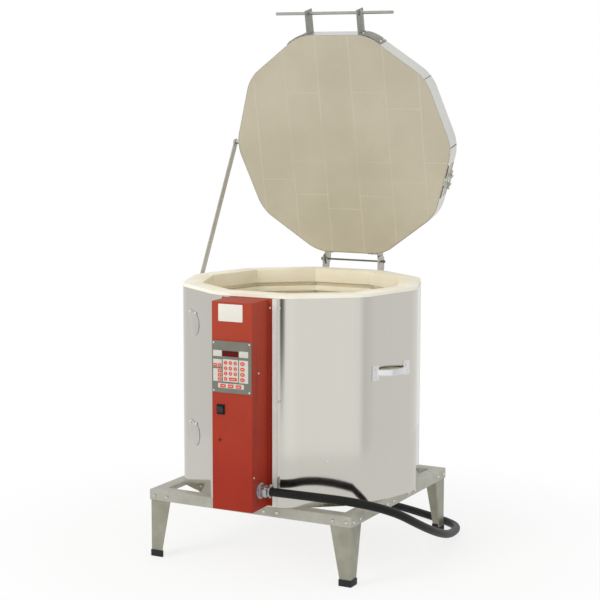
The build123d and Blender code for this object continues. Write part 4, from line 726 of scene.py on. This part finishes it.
# Lid band: a stainless strip drawn tight round the bricks by the tightener on
# the lid's right side.
band_steel = mixed_finish("band_steel", (0.74, 0.735, 0.70), (0.80, 0.795, 0.76), 0.8, 0.26, 0.34, 6, 0.00001)
band = ring_sheet("lid_band_sheet", jacket_apothem, jacket_corner, lid_bottom + band_fit, lid_top - band_fit)
walled(band, band_steel)
band.data.transform(to_open)
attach(band, "lid")
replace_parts(band, "lid_band")
clasp_steel = mixed_finish("clasp_steel", (0.60, 0.58, 0.50), (0.70, 0.68, 0.60), 0.7, 0.3, 0.4, 60)
cad_nodes["band_clamp"].data.materials.clear()
cad_nodes["band_clamp"].data.materials.append(clasp_steel)
# Dark finish for the lap joints of the band, and for the painted shade beside the tightener.
dark_joint_and_painted_shade = mixed_finish("dark_joint_and_painted_shade", (0.03, 0.028, 0.022), (0.05, 0.046, 0.038), 0.2, 0.6, 0.8, 60)


def flat_patch(name, x, z, width, height, corner, face_y, rise):
    """Thin raised patch with round corners on a face that looks towards -Y."""
    bpy.ops.object.select_all(action="DESELECT")
    bpy.ops.mesh.primitive_plane_add(size=1, location=(x, face_y, z), rotation=(pi / 2, 0, 0))
    patch = bpy.context.object
    patch.name = name
    patch.scale = (width, height, 1)
    bpy.ops.object.transform_apply(location=True, rotation=True, scale=True)
    bpy.ops.object.mode_set(mode="EDIT")
    bpy.ops.mesh.select_all(action="SELECT")
    bpy.ops.mesh.bevel(affect="VERTICES", offset=corner, segments=6)
    bpy.ops.mesh.select_all(action="SELECT")
    bpy.ops.mesh.remove_doubles(threshold=0.00002)
    bpy.ops.mesh.extrude_region_move(TRANSFORM_OT_translate={"value": (0, -rise, 0)})
    bpy.ops.transform.resize(value=(0.97, 1, 0.97), center_override=(x, face_y, z))
    bpy.ops.mesh.select_all(action="SELECT")
    bpy.ops.mesh.normals_make_consistent(inside=False)
    bpy.ops.object.mode_set(mode="OBJECT")
    return patch


def joined(name, patches, finish, body="kiln"):
    """One piece from several patches, dressed and carried by a body."""
    bpy.ops.object.select_all(action="DESELECT")
    for patch in patches:
        patch.select_set(True)
    bpy.context.view_layer.objects.active = patches[0]
    bpy.ops.object.join()
    piece = bpy.context.object
    piece.name = name
    bpy.ops.object.transform_apply(location=True, rotation=True, scale=True)
    piece.data.materials.clear()
    piece.data.materials.append(finish)
    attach(piece, body)
    return piece


band_middle = (lid_bottom + lid_top) / 2
mark_rise = 0.0006
# Painted shade: dark bars near both edges of the band on either side of the tightener, where the edges of its
# strap shade the band.
tightener_turn = 18
shade_bar_reach = 0.0345
shade_bar_shift = 0.021
shade_bar_size = (0.044, 0.009)
shade_bars = [
    flat_patch("shade_bar", x, band_middle + shift, *shade_bar_size, 0.0025, -jacket_apothem, mark_rise)
    for x in (shade_bar_reach, -shade_bar_reach) for shift in (-shade_bar_shift, shade_bar_shift)
]
shade_bars = joined("tightener_painted_shade", shade_bars, dark_joint_and_painted_shade, "lid")
shade_bars.data.transform(to_open @ Matrix.Rotation(radians(tightener_turn + 90), 4, "Z"))
band_corner_reach = 0.3701
lap_line_size = (0.0016, lid_top - lid_bottom - 0.003)
laps = []
for turn in (-36, 0):
    lap_line = flat_patch("lap_line", 0, band_middle, *lap_line_size, 0.0004, 0, mark_rise)
    to_corner = Matrix.Rotation(radians(turn + 90), 4, "Z") @ Matrix.Translation((0, -band_corner_reach, 0))
    lap_line.data.transform(to_corner)
    laps.append(lap_line)
laps = joined("band_lap_lines", laps, dark_joint_and_painted_shade, "lid")
laps.data.transform(to_open)

# Lid handle: two bent straps bolted to the band, a round bar through both,
# and a wire ring on the bar beside each strap.
strap_steel = mixed_finish("strap_steel", (0.28, 0.275, 0.24), (0.38, 0.375, 0.33), 0.75, 0.34, 0.46, 50)
for node in ("lid_handle_left", "lid_handle_right"):
    soften(node, "lid", strap_steel, 0.0008, 3)
bar_steel = mixed_finish("bar_steel", (0.47, 0.46, 0.43), (0.56, 0.55, 0.52), 0.9, 0.26, 0.38, 90)
soften("handle_bar", "handle_bar", bar_steel, 0.0008)
soften("bar_rings", "handle_bar", bar_steel, 0.0003)
soften("lid_bolts", "lid", bolt_zinc, 0.0003)

# Control box: a tall cover folded from steel sheet and sprayed satin red,
# with a flange on each side that is screwed to the jacket. A painted sheen
# makes the paint paler and less red towards the top.
red_paint = mixed_finish(
    "red_paint", (0.315, 0.020, 0.008), (0.350, 0.026, 0.010), 0, 0.46, 0.54, 9, 0.0001, shine=0.22,
)
tree = red_paint.node_tree
shader = tree.nodes["Principled BSDF"]
sprayed = shader.inputs["Base Color"].links[0].from_socket
place = tree.nodes.new("ShaderNodeTexCoord")
height = tree.nodes.new("ShaderNodeSeparateXYZ")
sheen_toward_top = tree.nodes.new("ShaderNodeMapRange")
sheen_toward_top.inputs["From Min"].default_value = 0.25
sheen_toward_top.inputs["From Max"].default_value = 0.82
sheen_toward_top.inputs["To Max"].default_value = 0.75
# Painted sheen: a paler, less saturated red mixed in towards the top.
painted_sheen = tree.nodes.new("ShaderNodeMix")
painted_sheen.data_type = "RGBA"
painted_sheen.inputs[7].default_value = (0.40, 0.062, 0.032, 1)
tree.links.new(place.outputs["Object"], height.inputs["Vector"])
tree.links.new(height.outputs["Z"], sheen_toward_top.inputs["Value"])
tree.links.new(sheen_toward_top.outputs["Result"], painted_sheen.inputs[0])
tree.links.new(sprayed, painted_sheen.inputs[6])
tree.links.new(painted_sheen.outputs[2], shader.inputs["Base Color"])
soften("control_cover", "kiln", red_paint, 0.0005)
plate_pale = mixed_finish("plate_pale", (0.70, 0.665, 0.60), (0.77, 0.74, 0.68), 0, 0.3, 0.42, 12, 0.0001)
soften("label_plate", "kiln", plate_pale, 0.0003)
fasteners = soften("box_screws", "kiln", screw_steel, 0.0003)
lens_red = mixed_finish("lens_red", (0.05, 0.003, 0.002), (0.08, 0.005, 0.003), 0, 0.1, 0.2, 60)
fasteners.data.materials.append(lens_red)
lamp_at = Vector((-0.048, -0.456, 0.416))
lamp_reach = 0.012
for face in fasteners.data.polygons:
    if (face.center - lamp_at).length < lamp_reach:
        face.material_index = 1

# Keypad: a grey printed film on a steel plate, with paler fields under the
# keys and a dark red window over the display. The flat red keys are printed
# with a number or a plain bar.
film = mixed_finish("keypad_film", (0.155, 0.152, 0.124), (0.178, 0.175, 0.145), 0, 0.4, 0.5, 40, 0.0001)
soften("keypad_panel", "kiln", film, 0.0005)
window = mixed_finish(
    "display_glass", (0.085, 0.001, 0.001), (0.1, 0.0015, 0.0015), 0, 0.2, 0.26, 30, 0.0001, shine=0.2,
)
soften("display_window", "kiln", window, 0.0004)
field_pale = mixed_finish("field_pale", (0.56, 0.55, 0.50), (0.61, 0.60, 0.55), 0, 0.34, 0.44, 40, 0.0001)
panel_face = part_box("keypad_panel")[0][1]
field_rise = 0.0003
fields = {
    "field_display_left": (-0.0685, -0.0405, 0.6595, 0.6768),
    "field_display_right": (0.0151, 0.0443, 0.6598, 0.6777),
    "field_left": (-0.0680, -0.0406, 0.6286, 0.6508),
    "field_left_low": (-0.0682, -0.0408, 0.5870, 0.6235),
    "field_numbers": (-0.0370, 0.0119, 0.5874, 0.6520),
    "field_right": (0.0150, 0.0441, 0.5863, 0.6519),
    "field_bottom": (-0.0525, 0.0301, 0.5684, 0.5821),
}
pale = []
for name, (left, right, bottom, top) in fields.items():
    middle = ((left + right) / 2, (bottom + top) / 2)
    pale.append(flat_patch(name, *middle, right - left, top - bottom, 0.0012, panel_face, field_rise))
joined("keypad_fields", pale, field_pale)
key_red = mixed_finish("key_red", (0.60, 0.075, 0.04), (0.66, 0.09, 0.048), 0, 0.34, 0.42, 60, 0.0001)
cap_rise = 0.0005
cap_rows = (0.642, 0.626, 0.611)
round_cap = (0.0112, 0.0112, 0.0056)
number_caps = [(x, z, *round_cap) for z in cap_rows for x in (-0.028, -0.0126, 0.003)]
number_caps += [(-0.0281, 0.5954, *round_cap)]
bar_caps = [(-0.0043, 0.5954, 0.0254, 0.0098, 0.0015)]
bar_caps += [(0.0258, z, 0.015, 0.0112, 0.0056) for z in (*cap_rows, 0.5957)]
bar_caps += [(x, 0.5748, 0.0182, 0.0104, 0.0018) for x in (-0.0367, -0.0116, 0.0135)]
bar_caps += [(x, 0.6339, 0.0118, 0.0098, 0.0018) for x in (-0.0611, -0.0474)]
bar_caps += [(-0.0472, z, 0.0118, 0.0102, 0.0018) for z in (0.6173, 0.6053, 0.5933)]
caps = [
    flat_patch(f"cap_{i}", *cap, panel_face - field_rise, cap_rise)
    for i, cap in enumerate(number_caps + bar_caps)
]
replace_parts(joined("membrane_keys", caps, key_red), "keys")
print_white = mixed_finish("print_white", (0.78, 0.77, 0.73), (0.84, 0.83, 0.79), 0, 0.4, 0.5, 60, 0.0001)
print_face = panel_face - field_rise - cap_rise
print_rise = 0.0001
bars = [
    flat_patch(f"bar_{i}", x, z, width / 2, 0.0011, 0.0003, print_face, print_rise)
    for i, (x, z, width, *_) in enumerate(bar_caps)
]
joined("key_bars", bars, print_white)
digits = []
for digit, (x, z, *_) in zip("1234567890", number_caps):
    bpy.ops.object.select_all(action="DESELECT")
    bpy.ops.object.text_add(location=(x, print_face, z), rotation=(pi / 2, 0, 0))
    mark = bpy.context.object
    mark.data.body = digit
    mark.data.size = 0.0062
    mark.data.align_x = "CENTER"
    mark.data.align_y = "CENTER"
    mark.data.extrude = print_rise
    mark.data.offset = -0.00008
    bpy.ops.object.convert(target="MESH")
    digits.append(bpy.context.object)
joined("key_numbers", digits, print_white)

# Switch: a black rocker in a moulded frame that clips into the box.
black_plastic = mixed_finish(
    "black_plastic", (0.006, 0.006, 0.006), (0.012, 0.012, 0.012), 0, 0.36, 0.5, 220, shine=0.3,
)
rocker_black = mixed_finish("rocker_black", (0.014, 0.014, 0.014), (0.022, 0.022, 0.022), 0, 0.26, 0.36, 220)
soften("rocker_bezel", "kiln", black_plastic, 0.0006, 3)
soften("rocker_switch", "rocker_switch", rocker_black, 0.0007, 3)

# Inside the box: circuit board, three relays, transformer, and the ceramic
# tube of the thermocouple that reaches through the wall.
solder_mask = mixed_finish("board_green", (0.015, 0.10, 0.04), (0.025, 0.15, 0.06), 0, 0.3, 0.45, 70)
soften("control_board", "kiln", solder_mask, 0.0002)
soften("relays", "kiln", black_plastic, 0.0008)
laminated = mixed_finish("transformer_iron", (0.10, 0.09, 0.08), (0.19, 0.17, 0.15), 0.7, 0.4, 0.6, 110)
soften("transformer", "kiln", laminated, 0.0008)
fired = mixed_finish("thermo_ceramic", (0.68, 0.64, 0.56), (0.78, 0.75, 0.68), 0, 0.5, 0.62, 60)
soften("thermocouple", "kiln", fired, 0.0004)

# Cord connector: a cast zinc clamp with two screws, locked into the box wall.
zinc_cast = mixed_finish("zinc_cast", (0.42, 0.44, 0.45), (0.62, 0.64, 0.65), 1, 0.26, 0.42, 130, 0.0003)
soften("cord_gland", "kiln", zinc_cast, 0.0006)

# Size of the finished model.
low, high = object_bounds()
